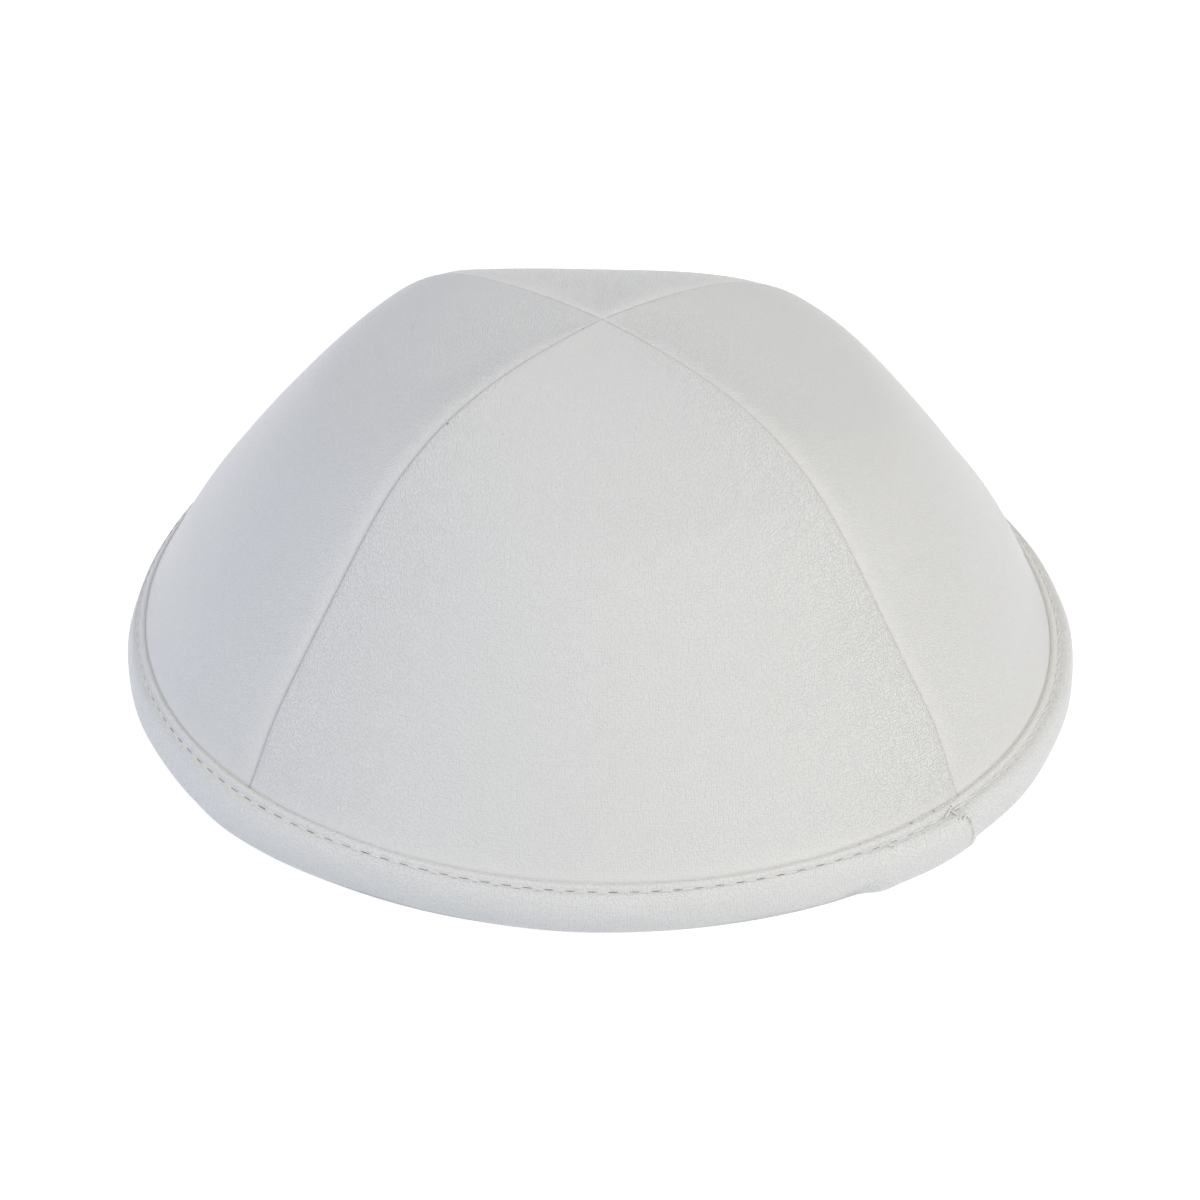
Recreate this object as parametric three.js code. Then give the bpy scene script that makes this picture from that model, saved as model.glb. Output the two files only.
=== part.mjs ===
// Kippah: a shallow leather skullcap of four gores, edged with one folded leather binding.
// Millimetres, +Z up, the front towards -Y. The origin is on the floor under the rim's centre.
import * as THREE from 'three';

// Driving dimensions, in millimetres and degrees
const RIM_RADIUS = 85;
const CROWN_WALL = 1.4;
const PIECE_GAP = 0.3;
const APEX = new THREE.Vector2(-1, -2);
const TIP_RADIUS = 0.5;

// The binding stands this far outside the fold line, where its top edge meets the crown
const BINDING_PROUD = 3.4;
const FOLD_RADIUS = RIM_RADIUS - BINDING_PROUD;

// The rim is a circle drawn out a little at the seams: a share of the fold radius
const RIM_SQUARE = 0.007;

// Each gore runs anticlockwise, seen from above, between two seams given as angles from +X
const GORES = [
  { name: 'crown_panel_right', from: -44, to: 44.5 },
  { name: 'crown_panel_back', from: 44.5, to: 138 },
  { name: 'crown_panel_left', from: 138, to: 227 },
  { name: 'crown_panel_front', from: 227, to: 316 },
];

// Crown heights along a seam and along the middle of a gore. share is the way from apex to fold line
const MERIDIAN = [
  { share: 0.0, seam: 66.3, mid: 66.3 },
  { share: 0.12, seam: 65.9, mid: 65.3 },
  { share: 0.25, seam: 64.8, mid: 63.3 },
  { share: 0.38, seam: 62.5, mid: 60.0 },
  { share: 0.5, seam: 58.5, mid: 55.4 },
  { share: 0.62, seam: 51.4, mid: 49.2 },
  { share: 0.75, seam: 39.2, mid: 38.2 },
  { share: 0.88, seam: 25.5, mid: 24.2 },
  { share: 1.0, seam: 9.4, mid: 8.6 },
];

// Below the fold line the gores are tucked inside the binding.
// down is a share of the fold's height above the floor, out is measured outwards from the fold line
const TUCK = [
  { down: 0.22, out: 0.9 },
  { down: 0.45, out: 1.2 },
  { down: 0.66, out: 1.2 },
];

// Section of the binding, from the top edge over the outside, under the foot, up the inside and
// back down and up the slot that holds the gores. lap is the share of the joint's extra thickness
const BINDING = [
  { out: 0.35, down: 0.0, lap: 0 },
  { out: 0.75, down: -0.03, lap: 0.3 },
  { out: 1.2, down: 0.005, lap: 0.5 },
  { out: 1.5, down: 0.07, lap: 0.5 },
  { out: 2.1, down: 0.1, lap: 1 },
  { out: 2.85, down: 0.28, lap: 1 },
  { out: BINDING_PROUD, down: 0.6, lap: 1 },
  { out: 3.2, down: 0.82, lap: 1 },
  { out: 2.4, down: 0.96, lap: 0.5 },
  { out: 1.7, down: 1.0, lap: 0 },
  { out: -0.6, down: 1.0, lap: 0 },
  { out: -1.7, down: 0.93, lap: 0 },
  { out: -2.25, down: 0.76, lap: 0 },
  { out: -2.35, down: 0.45, lap: 0 },
  { out: -2.6, down: 0.13, lap: 0 },
  { out: -1.5, down: 0.1, lap: 0 },
  { out: -1.0, down: 0.22, lap: 0 },
  { out: -0.55, down: 0.45, lap: 0 },
  { out: -0.55, down: 0.7, lap: 0 },
  { out: 1.55, down: 0.7, lap: 0 },
  { out: 1.55, down: 0.45, lap: 0 },
  { out: 1.25, down: 0.22, lap: 0 },
];

// The binding's ends overlap right of the front: there the strip is thicker by LAP_THICKNESS
const LAP_FROM = -60;
const LAP_TO = -44;
const LAP_THICKNESS = 0.6;

// The two edges of a seam roll down into it over ROLL_WIDTH, or less near the apex, and are pressed
// nearly flat at the fold line and quite flat inside the binding
const ROLL_WIDTH = 2.6;
const ROLL_DEPTH = 0.9;
const ROLL_MOST = 0.3;
const ROLL_AT_FOLD = 0.2;

// Columns beside a seam: mm from the edge, and at most this share of the gore's half width
const EDGE_COLUMNS = [
  { mm: 0, most: 0 },
  { mm: 0.9, most: 0.12 },
  { mm: ROLL_WIDTH, most: ROLL_MOST },
];
const INNER_COLUMNS = 13;
const CROWN_ROWS = 21;
const RIM_SEGMENTS = 90;

const LEATHER = { color: 0xdcdad6, roughness: 0.55, metalness: 0 };
const BINDING_LEATHER = { color: 0xdedcd7, roughness: 0.5, metalness: 0 };

const radians = THREE.MathUtils.degToRad;
const lerp = THREE.MathUtils.lerp;

// Slope of a height column at a row, from the rows on both sides
function slopeAt(column, row) {
  const before = MERIDIAN[Math.max(row - 1, 0)];
  const after = MERIDIAN[Math.min(row + 1, MERIDIAN.length - 1)];
  return (after[column] - before[column]) / (after.share - before.share);
}

// Height on a smooth curve through a column of the meridian table: a cubic between each two rows
function heightAt(column, share) {
  let row = 0;
  while (row < MERIDIAN.length - 2 && share > MERIDIAN[row + 1].share) row += 1;
  const low = MERIDIAN[row];
  const high = MERIDIAN[row + 1];
  const span = high.share - low.share;
  const t = (share - low.share) / span;
  const rise = high[column] - low[column];
  const startSlope = slopeAt(column, row) * span;
  const endSlope = slopeAt(column, row + 1) * span;
  const bend = startSlope + endSlope - 2 * rise;
  return low[column] + startSlope * t + (rise - startSlope - bend) * t * t + bend * t * t * t;
}

// Plan position of the fold line: side runs from -1 to 1 across a gore, from seam to seam
function foldPoint(angle, side, out = 0) {
  const radius = FOLD_RADIUS * (1 - RIM_SQUARE * Math.cos(Math.PI * side)) + out;
  return new THREE.Vector2(radius * Math.cos(angle), radius * Math.sin(angle));
}

// Share of the way from a gore's middle height to its seam height. The gore is bent like a parabola
// between its seams, and eases into the smooth wave of the binding near the fold
function seamShare(side, share) {
  const wave = (1 - Math.cos(Math.PI * side)) / 2;
  return lerp(side * side, wave, share ** 3);
}

function skinHeight(side, share) {
  return lerp(heightAt('mid', share), heightAt('seam', share), seamShare(side, share));
}

// Point on the crown's smooth outer skin. A station is a share of the way down, or a tuck row
function skinPoint(gore, side, station) {
  const angle = radians(lerp(gore.from, gore.to, (side + 1) / 2));
  const foot = foldPoint(angle, side, station.out);
  const plan = APEX.clone().lerp(foot, station.share);
  const height = skinHeight(side, station.share) * (1 - station.down);
  return new THREE.Vector3(plan.x, plan.y, height);
}

// Rows of the crown from the tip down to the fold line, then the tuck rows. roll is the share of the
// seam's full roll
function crownStations() {
  const tip = TIP_RADIUS / FOLD_RADIUS;
  const last = CROWN_ROWS - 1;
  const rows = Array.from({ length: CROWN_ROWS }, (_, row) => ({
    share: lerp(tip, 1, row / last),
    down: 0,
    out: 0,
    roll: row < last ? 1 : ROLL_AT_FOLD,
  }));
  return rows.concat(TUCK.map((row) => ({ share: 1, roll: 0, ...row })));
}

// Distances from the nearer seam of one row's columns, from the first seam to the second
function columnDistances(halfWidth) {
  const edge = EDGE_COLUMNS.map((column) => Math.min(column.mm, column.most * halfWidth));
  const first = edge[edge.length - 1];
  const middle = Array.from({ length: INNER_COLUMNS }, (_, column) => {
    const across = lerp(first, 2 * halfWidth - first, (column + 1) / (INNER_COLUMNS + 1));
    return Math.min(across, 2 * halfWidth - across);
  });
  return [...edge, ...middle, ...edge.slice().reverse()];
}

// Depth by which the skin rolls down into a seam: a quarter round of the roll's width
function rollDepth(distance, halfWidth) {
  const width = Math.min(ROLL_WIDTH, ROLL_MOST * halfWidth);
  const away = 1 - Math.min(distance / width, 1);
  return ROLL_DEPTH * (1 - Math.sqrt(1 - away * away));
}

// Grid of a gore's smooth skin, row by row, with the depth that each point rolls down by
function goreGrid(gore) {
  const halfAngle = radians(gore.to - gore.from) / 2;
  return crownStations().map((station) => {
    const reach = station.share * FOLD_RADIUS + station.out;
    const halfWidth = reach * halfAngle - PIECE_GAP / 2;
    const distances = columnDistances(halfWidth);
    return distances.map((distance, column) => {
      const towards = column < distances.length / 2 ? -1 : 1;
      const side = (towards * (halfWidth - distance)) / (reach * halfAngle);
      return { roll: station.roll * rollDepth(distance, halfWidth), point: skinPoint(gore, side, station) };
    });
  });
}

// Outward normal at a grid point, from its neighbours. At a seam it stays in the seam's own plane,
// so the two walls that meet there stay a gap apart through their whole thickness
function gridNormal(grid, gore, row, column) {
  const lastRow = grid.length - 1;
  const lastColumn = grid[row].length - 1;
  const up = grid[Math.max(row - 1, 0)][column].point;
  const down = grid[Math.min(row + 1, lastRow)][column].point;
  const left = grid[row][Math.max(column - 1, 0)].point;
  const right = grid[row][Math.min(column + 1, lastColumn)].point;
  const normal = down.clone().sub(up).cross(right.clone().sub(left)).normalize();
  if (column > 0 && column < lastColumn) return normal;
  const seamAngle = radians(column === 0 ? gore.from : gore.to);
  const along = foldPoint(seamAngle, 1).sub(APEX).normalize();
  const across = new THREE.Vector3(-along.y, along.x, 0);
  return normal.addScaledVector(across, -normal.dot(across)).normalize();
}

// Closed geometry from rows of points on both skins of a wall
function shellGeometry(outer, inner) {
  const rows = outer.length;
  const columns = outer[0].length;
  const points = [...outer.flat(), ...inner.flat()];
  const innerStart = rows * columns;
  const index = [];
  const quad = (a, b, c, d) => index.push(a, b, c, a, c, d);
  for (let row = 0; row < rows - 1; row += 1) {
    for (let column = 0; column < columns - 1; column += 1) {
      const a = row * columns + column;
      quad(a, a + columns, a + columns + 1, a + 1);
      quad(innerStart + a, innerStart + a + 1, innerStart + a + columns + 1, innerStart + a + columns);
    }
    const first = row * columns;
    const last = first + columns - 1;
    quad(first, innerStart + first, innerStart + first + columns, first + columns);
    quad(last, last + columns, innerStart + last + columns, innerStart + last);
  }
  for (let column = 0; column < columns - 1; column += 1) {
    const top = column;
    const bottom = (rows - 1) * columns + column;
    quad(top, top + 1, innerStart + top + 1, innerStart + top);
    quad(bottom, innerStart + bottom, innerStart + bottom + 1, bottom + 1);
  }
  return indexedGeometry(points, index);
}

function indexedGeometry(points, index) {
  const geometry = new THREE.BufferGeometry().setFromPoints(points);
  geometry.setIndex(index);
  geometry.computeVertexNormals();
  return geometry;
}

function crownPanel(gore) {
  const grid = goreGrid(gore);
  const skinAt = (below) => grid.map((row, rowIndex) => row.map((cell, columnIndex) => {
    const normal = gridNormal(grid, gore, rowIndex, columnIndex);
    return cell.point.clone().addScaledVector(normal, -(cell.roll + below));
  }));
  const material = new THREE.MeshStandardMaterial(LEATHER);
  const panel = new THREE.Mesh(shellGeometry(skinAt(0), skinAt(CROWN_WALL)), material);
  panel.name = gore.name;
  return panel;
}

// Place across the gore that holds an angle: -1 at its first seam, 1 at its second
function sideOf(degrees) {
  const turned = THREE.MathUtils.euclideanModulo(degrees - GORES[0].from, 360) + GORES[0].from;
  const gore = GORES.find((candidate) => turned >= candidate.from && turned < candidate.to);
  return (2 * (turned - gore.from)) / (gore.to - gore.from) - 1;
}

// Extra thickness where the binding's ends overlap: a low hump between the two ends
function lapThickness(degrees) {
  const share = (degrees - LAP_FROM) / (LAP_TO - LAP_FROM);
  if (share <= 0 || share >= 1) return 0;
  return LAP_THICKNESS * Math.sqrt(Math.sin(Math.PI * share));
}

function bindingSection(degrees) {
  const side = sideOf(degrees);
  const foldHeight = skinHeight(side, 1);
  return BINDING.map((corner) => {
    const out = corner.out + corner.lap * lapThickness(degrees);
    const plan = foldPoint(radians(degrees), side, out);
    return new THREE.Vector3(plan.x, plan.y, foldHeight * (1 - corner.down));
  });
}

// One strip folded over the gores' lower edges: the section carried once round the rim
function rimBinding() {
  const corners = BINDING.length;
  const step = 360 / RIM_SEGMENTS;
  const sections = Array.from({ length: RIM_SEGMENTS }, (_, turn) => bindingSection(turn * step - 180));
  const index = [];
  for (let turn = 0; turn < RIM_SEGMENTS; turn += 1) {
    const here = turn * corners;
    const next = ((turn + 1) % RIM_SEGMENTS) * corners;
    for (let corner = 0; corner < corners; corner += 1) {
      const after = (corner + 1) % corners;
      index.push(here + corner, here + after, next + after);
      index.push(here + corner, next + after, next + corner);
    }
  }
  const material = new THREE.MeshStandardMaterial(BINDING_LEATHER);
  const binding = new THREE.Mesh(indexedGeometry(sections.flat(), index), material);
  binding.name = 'rim_binding';
  return binding;
}

const kippah = new THREE.Group();
GORES.forEach((gore) => kippah.add(crownPanel(gore)));
kippah.add(rimBinding());

export default kippah;
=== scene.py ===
"""Leather kippah: four sewn gores and a folded, topstitched rim binding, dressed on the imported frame.

Lengths are in metres unless a comment says mm. +Z is up, and the front of the cap faces -Y.
"""

import math

import bpy
import numpy as np
from mathutils import Euler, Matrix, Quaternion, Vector
from bpy.props import FloatProperty, FloatVectorProperty, IntProperty, PointerProperty


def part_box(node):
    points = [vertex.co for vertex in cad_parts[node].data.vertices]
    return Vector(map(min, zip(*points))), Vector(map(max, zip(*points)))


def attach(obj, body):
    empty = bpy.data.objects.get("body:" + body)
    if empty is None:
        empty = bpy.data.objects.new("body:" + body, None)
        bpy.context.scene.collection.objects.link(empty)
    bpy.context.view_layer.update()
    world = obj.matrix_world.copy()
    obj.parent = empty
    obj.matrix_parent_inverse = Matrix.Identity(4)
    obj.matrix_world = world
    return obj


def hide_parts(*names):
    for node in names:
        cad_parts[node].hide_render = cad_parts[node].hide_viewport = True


bl_info = {
    "name": "Leather kippah",
    "version": (1, 0, 0),
    "blender": (4, 5, 0),
    "location": "View3D > Sidebar > Kippah",
    "description": "Builds a leather kippah of four gores with a topstitched rim binding",
    "category": "Add Mesh",
}

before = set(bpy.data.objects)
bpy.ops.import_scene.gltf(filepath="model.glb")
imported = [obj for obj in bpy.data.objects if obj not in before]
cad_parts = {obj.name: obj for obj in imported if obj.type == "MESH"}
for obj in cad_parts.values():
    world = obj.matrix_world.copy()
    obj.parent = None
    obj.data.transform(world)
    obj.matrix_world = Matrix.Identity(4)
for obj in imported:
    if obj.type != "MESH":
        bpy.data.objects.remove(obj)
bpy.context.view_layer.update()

MM = 0.001
BODY = "root"

# The rim's reach comes from the frame; the binding stands proud of the fold line, where it meets the crown
RIM_LOW, RIM_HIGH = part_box("rim_binding")
RIM_REACH = (RIM_HIGH[0] - RIM_LOW[0]) / 2
BINDING_PROUD = 3.4 * MM
RIM_SQUARE = 0.007
FOLD_RADIUS = (RIM_REACH - BINDING_PROUD) / (1 - RIM_SQUARE)
APEX = np.array([-1.0, -2.0]) * MM
TIP_RADIUS = 0.06 * MM

# Seams, anticlockwise seen from above, at degrees from +X. before and after say how fully the leather
# on either side rolls into the seam. top, middle and bottom are how dark the seam is along its way
# down, with dirt and painted shade, and drift is how far it strays sideways near the rim, in mm
SEAMS = [
    {"angle": -44.0, "before": 0.3, "after": 1.0, "top": 0.6, "middle": 0.5, "bottom": 0.35, "drift": 1.1},
    {"angle": 44.5, "before": 0.3, "after": 1.6, "top": 0.7, "middle": 0.4, "bottom": 0.35, "drift": 0.0},
    {"angle": 138.0, "before": 1.6, "after": 0.3, "top": 0.8, "middle": 0.4, "bottom": 0.35, "drift": 0.0},
    {"angle": 227.0, "before": 1.0, "after": 0.3, "top": 0.65, "middle": 0.75, "bottom": 0.75, "drift": -0.6},
]
# Each gore runs from its seam to the next. top_grain, grain and low_grain are how deep its pebbles are
# near the apex, half way down and at the lower end of its seams. beside is how much deeper they are
# beside one of its seams: the first where the number is negative, else the second
GORES = [
    {"node": "crown_panel_right", "piece": "gore_right", "top_grain": 1.3, "grain": 0.8, "low_grain": 0.6,
     "beside": -0.8},
    {"node": "crown_panel_back", "piece": "gore_back", "top_grain": 1.5, "grain": 1.5, "low_grain": 1.0,
     "beside": 0.0},
    {"node": "crown_panel_left", "piece": "gore_left", "top_grain": 1.3, "grain": 0.6, "low_grain": 0.5,
     "beside": 0.8},
    {"node": "crown_panel_front", "piece": "gore_front", "top_grain": 0.55, "grain": 1.1, "low_grain": 2.3,
     "beside": 0.5},
]

# How the worn rim strays from its even form, by degrees from +X and in mm: the fold line's move
# outwards, the strip's change of reach, the crown's bulge just above the fold, and the move outwards of
# the strip's foot alone
STRAY = [
    {"angle": -142.0, "fold": 0.0, "reach": 0.4, "bulge": 0.0, "foot": 0.0},
    {"angle": -135.0, "fold": 0.0, "reach": 1.0, "bulge": 0.0, "foot": 0.0},
    {"angle": -125.0, "fold": 0.0, "reach": 0.1, "bulge": 0.0, "foot": 0.0},
    {"angle": -114.0, "fold": 0.0, "reach": -0.8, "bulge": 0.0, "foot": 0.0},
    {"angle": -100.0, "fold": 0.0, "reach": -0.1, "bulge": 0.0, "foot": 0.0},
    {"angle": -90.0, "fold": 0.0, "reach": 0.2, "bulge": 0.0, "foot": 0.0},
    {"angle": -78.0, "fold": 0.0, "reach": -0.6, "bulge": 0.0, "foot": 0.0},
    {"angle": -66.0, "fold": 0.0, "reach": -0.8, "bulge": 0.0, "foot": 0.0},
    {"angle": -62.0, "fold": 0.0, "reach": -0.8, "bulge": 0.0, "foot": 0.0},
    {"angle": -59.2, "fold": 0.0, "reach": -0.3, "bulge": 0.0, "foot": -0.65},
    {"angle": -57.1, "fold": 0.0, "reach": 0.3, "bulge": 0.0, "foot": 0.6},
    {"angle": -54.0, "fold": 0.0, "reach": 0.6, "bulge": 0.0, "foot": 0.2},
    {"angle": -50.0, "fold": 0.0, "reach": 0.7, "bulge": 0.0, "foot": 0.0},
    {"angle": -45.5, "fold": 0.0, "reach": 0.5, "bulge": 0.0, "foot": 0.0},
    {"angle": -40.0, "fold": -0.2, "reach": 0.5, "bulge": 0.0, "foot": 0.0},
    {"angle": -22.0, "fold": -0.4, "reach": 1.0, "bulge": 0.1, "foot": 0.0},
    {"angle": -8.0, "fold": -0.5, "reach": 1.2, "bulge": 0.1, "foot": 0.0},
    {"angle": 14.0, "fold": -0.7, "reach": 0.6, "bulge": 0.6, "foot": 0.0},
    {"angle": 40.0, "fold": -0.6, "reach": -0.9, "bulge": 1.0, "foot": 0.0},
    {"angle": 90.0, "fold": -0.2, "reach": -1.1, "bulge": 0.6, "foot": 0.0},
    {"angle": 145.0, "fold": -0.2, "reach": -2.0, "bulge": 0.5, "foot": 0.0},
    {"angle": 165.0, "fold": -0.3, "reach": -1.8, "bulge": 0.3, "foot": 0.0},
    {"angle": 178.0, "fold": -0.1, "reach": -0.6, "bulge": 0.2, "foot": 0.0},
    {"angle": 192.0, "fold": 0.0, "reach": 0.1, "bulge": 0.1, "foot": 0.0},
]

# Soft dents: gore, place across (side) and down (share), their reach in the same measures, and depth
# in mm, less than 0 for a swelling
DENTS = [
    {"gore": 2, "side": 0.55, "share": 0.36, "wide": 0.22, "tall": 0.1, "depth": 0.3},
    {"gore": 2, "side": 0.2, "share": 0.5, "wide": 0.3, "tall": 0.09, "depth": 0.25},
    {"gore": 2, "side": 0.75, "share": 0.55, "wide": 0.16, "tall": 0.14, "depth": -0.25},
    {"gore": 3, "side": -0.4, "share": 0.62, "wide": 0.3, "tall": 0.16, "depth": -0.2},
    {"gore": 3, "side": 0.5, "share": 0.45, "wide": 0.3, "tall": 0.12, "depth": 0.2},
    {"gore": 0, "side": -0.5, "share": 0.4, "wide": 0.2, "tall": 0.1, "depth": 0.15},
    {"gore": 0, "side": 0.1, "share": 0.7, "wide": 0.35, "tall": 0.12, "depth": -0.25},
    {"gore": 0, "side": 0.75, "share": 0.6, "wide": 0.3, "tall": 0.14, "depth": -0.5},
    {"gore": 1, "side": 0.0, "share": 0.52, "wide": 0.55, "tall": 0.17, "depth": 0.8},
    {"gore": 1, "side": 1.0, "share": 0.5, "wide": 0.3, "tall": 0.15, "depth": -0.8},
    {"gore": 2, "side": -1.0, "share": 0.5, "wide": 0.3, "tall": 0.15, "depth": -0.8},
]

# Crown heights in mm along a seam and along a gore's middle; share is the way from apex to fold line
MERIDIAN = [
    {"share": 0.0, "seam": 66.3, "mid": 66.3},
    {"share": 0.12, "seam": 65.9, "mid": 65.3},
    {"share": 0.25, "seam": 64.8, "mid": 63.3},
    {"share": 0.38, "seam": 62.5, "mid": 60.0},
    {"share": 0.5, "seam": 58.5, "mid": 55.4},
    {"share": 0.62, "seam": 51.4, "mid": 49.2},
    {"share": 0.75, "seam": 39.2, "mid": 38.2},
    {"share": 0.88, "seam": 25.5, "mid": 24.2},
    {"share": 1.0, "seam": 9.4, "mid": 8.6},
]

# Below the fold line the gores are tucked in: down is a share of the fold's height, out is in mm. The
# tuck has this many rows of points
TUCK = [
    {"down": 0.0, "out": 0.0},
    {"down": 0.22, "out": 0.9},
    {"down": 0.45, "out": 1.2},
    {"down": 0.66, "out": 1.2},
]
TUCK_ROWS = 12

# Near the rim a seam strays most at this share of the way down, along a bell curve of this reach. The
# leather beside it follows less across the gore, by this power
DRIFT_SHARE = 0.93
DRIFT_REACH = 0.055
DRIFT_POWER = 6

# The crown bulges round this share of the way down, over this reach. All its relief eases within the last
# share above the fold, where the rolls beside the seams keep this share of their depth
BULGE_SHARE = 0.93
BULGE_REACH = 0.05
FOLD_EASE = 0.03
ROLL_AT_FOLD = 0.2

# Points beside a seam: how many, over how many roll widths, over which share of half the gore at most,
# and the power by which they crowd towards the seam
EDGE_COLUMNS = 18
EDGE_ROLLS = 1.4
EDGE_SHARE = 0.36
EDGE_CROWDING = 1.6

# A roll is at most this share of half the gore wide, and the weakest this share of that width. Its turned
# edge takes these last shares of its width and of its depth
ROLL_SHARE = 0.3
WEAK_ROLL = 0.35
TURNED_WIDTH = 0.15
TURNED_DEPTH = 0.2

# Dirt and painted shade along a seam: the width over which it fades, and the share of the way down within
# which it thins out towards the apex, to the least that stays
SEAM_DIRT_SHADE_WIDTH = 0.13 * MM
APEX_SHARE = 0.02
APEX_DIRT_SHADE = 0.3

# The seam's dirt and painted shade is this many times what its row says where the leather doesn't roll,
# and this much less than that where it rolls fully
FLAT_DIRT_SHADE = 1.15
ROLLED_DIRT_SHADE = 0.5

# Painted highlight beside a seam and above the fold: how strong it is and over what that fades, a share of
# the roll's width and a width. The fade is narrower where the leather rolls less, by this power, and the
# roll's width counts as at least RIDGE_LEAST of the full one
RIDGE_HIGHLIGHT = 1.2
RIDGE_FADE = 0.4
RIDGE_POWER = 1.5
RIDGE_LEAST = 0.5
FOLD_HIGHLIGHT = 1.6
FOLD_FADE = 0.8 * MM

# Dirt and painted shade in the crevice: its width on the crown and, in mm, on the binding, and the least of
# it round the rim
FOLD_DIRT_SHADE_WIDTH = 0.12 * MM
CREVICE_WIDTH = 0.14
CREVICE_LEAST = 0.12

# Grain on a gore goes from top_grain to grain between these shares of the way down. low_grain comes in
# slowly until GRAIN_LOW_SHARE: fully beside the seams, and only this far along the gore's middle
GRAIN_TOP_SHARES = (0.2, 0.5)
GRAIN_LOW_SHARE = 0.7
GRAIN_LOW_MIDDLE = 0.15

# The grain beside a seam starts at this place across and grows over this way. Where the painted highlight
# lies the grain loses this much of the depth, and the gore's inner side and the strip have depths of their
# own
BESIDE_START = 0.35
BESIDE_WIDTH = 0.6
HIGHLIGHT_GRAIN_LOSS = 0.5
INNER_GRAIN = 0.5
STRIP_GRAIN = 1.8

# Needle holes and flecks on the crown: gore, place across (side) and down (share), radius in mm, and how
# dark each is. The holes' darkness is painted shade; the flecks are the leather's own marks
MARKS = [
    {"gore": 3, "side": -0.985, "share": 0.45, "radius": 0.28, "dark": 0.85},
    {"gore": 0, "side": -0.985, "share": 0.322, "radius": 0.26, "dark": 0.8},
    {"gore": 3, "side": -0.96, "share": 0.057, "radius": 0.2, "dark": 0.8},
    {"gore": 2, "side": -0.342, "share": 0.416, "radius": 0.3, "dark": 0.25},
    {"gore": 2, "side": -0.37, "share": 0.42, "radius": 0.3, "dark": 0.25},
    {"gore": 3, "side": -0.66, "share": 0.412, "radius": 0.25, "dark": 0.15},
]

# Section of the binding from its top edge over the outside, under the foot and up the inside, then
# through the slot that holds the gores. lap is the share of the joint's extra thickness
BINDING = [
    {"out": 0.0, "down": 0.0, "lap": 0.0},
    {"out": 0.1, "down": -0.014, "lap": 0.1},
    {"out": 0.6, "down": -0.022, "lap": 0.4},
    {"out": 1.4, "down": 0.045, "lap": 0.4},
    {"out": 2.1, "down": 0.07, "lap": 0.8},
    {"out": 2.8, "down": 0.21, "lap": 1.0},
    {"out": 3.25, "down": 0.48, "lap": 1.0},
    {"out": 2.8, "down": 0.78, "lap": 1.0},
    {"out": 1.8, "down": 0.96, "lap": 0.9},
    {"out": 1.1, "down": 1.0, "lap": 0.3},
    {"out": -0.6, "down": 1.0, "lap": 0.0},
    {"out": -1.7, "down": 0.93, "lap": 0.0},
    {"out": -2.25, "down": 0.76, "lap": 0.0},
    {"out": -2.35, "down": 0.45, "lap": 0.0},
    {"out": -2.6, "down": 0.13, "lap": 0.0},
    {"out": -1.5, "down": 0.1, "lap": 0.0},
    {"out": -1.0, "down": 0.22, "lap": 0.0},
    {"out": -0.55, "down": 0.45, "lap": 0.0},
    {"out": -0.55, "down": 0.7, "lap": 0.0},
    {"out": 1.5, "down": 0.7, "lap": 0.0},
    {"out": 1.5, "down": 0.45, "lap": 0.0},
    {"out": 1.1, "down": 0.22, "lap": 0.0},
]
STITCH_ROW = 3
OUTERMOST_ROW = 6
STITCH_COUNT = 154

# Points from each row of that table to the next, and the fold's height in mm, near enough to measure
# along the section
PROFILE_STEPS = 5
FOLD_DROP = 9.0

# Slow waves of the strip's reach: height in mm, how many go round the rim, and where they start
SWELLS = [
    {"height": 0.12, "waves": 9, "start": 1.0},
    {"height": 0.08, "waves": 23, "start": 2.0},
]

# The strip's foot starts to stray by itself at the first of these shares of the way from the fold line
# down to the floor, and does so fully after the second
FOOT_START = 0.5
FOOT_EASE = 0.3

# The groove along the stitches: its width in mm, and half of the share of its depth that is lost between
# the slots
GROOVE_WIDTH = 0.45
GROOVE_LOSS = 0.3

# The lapped end runs straight down below this share of the fold's height, and steps up over this angle.
# This many sections stand close together within this angle on both sides of it
LAP_STRAIGHT = 0.5
LAP_STEP = math.radians(0.2)
LAP_SECTIONS = 61
LAP_CLOSE = math.radians(1.2)

# The bead at the strip's upper edge: how far out its middle lies and half its width, in mm, and its least
# painted highlight
BEAD_OUT = 0.6
BEAD_WIDTH = 0.5
BEAD_HIGHLIGHT = 0.4

# The strip's upper edge and side lie within this share of the way down to the floor. Inside the cap it
# turns to suede, from this far behind the fold line and over this way, both in mm. It does so by this
# share, and down to this share of the way
UPPER_SIDE = 0.1
SUEDE_START = 0.5
SUEDE_EASE = 0.5
SUEDE = 0.5
FLOOR_SHARE = 0.95

# Painted shade darkens the strip towards its foot from this share of the way down, over the share that
# follows
FOOT_DARK_START = 0.15
FOOT_DARK_EASE = 0.8

# Stitches of the thread: where each begins and ends, counted in stitches, how far that strays, which
# share of the groove they sink, and their height in thread radii, lying flat and what raised adds. A
# stray thread's radius is this share of the thickness
STITCH_BEGINS = 0.66
STITCH_ENDS = 1.34
STITCH_STRAY = 0.03
STITCH_SUNK = 0.75
STITCH_LIFT = 0.9
STITCH_RAISED = 1.1
STRAY_THREAD = 0.4

# Rings and sides of one arc of thread, and the turns of its twist. The powers say how flat its arc is and
# how blunt its ends are. They narrow up to this share of its length from the end, and sink this many
# radii into the leather
STRAND_RINGS = 11
STRAND_SIDES = 8
STRAND_TWISTS = 9
STRAND_FLATNESS = 0.6
STRAND_BLUNTNESS = 0.25
STRAND_TIP = 0.03
STRAND_SUNK = 1.1

# Outward and upward parts of the direction square to the binding's upper side
TOP_OUTWARD = 0.45
TOP_UPWARD = 0.89
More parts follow.
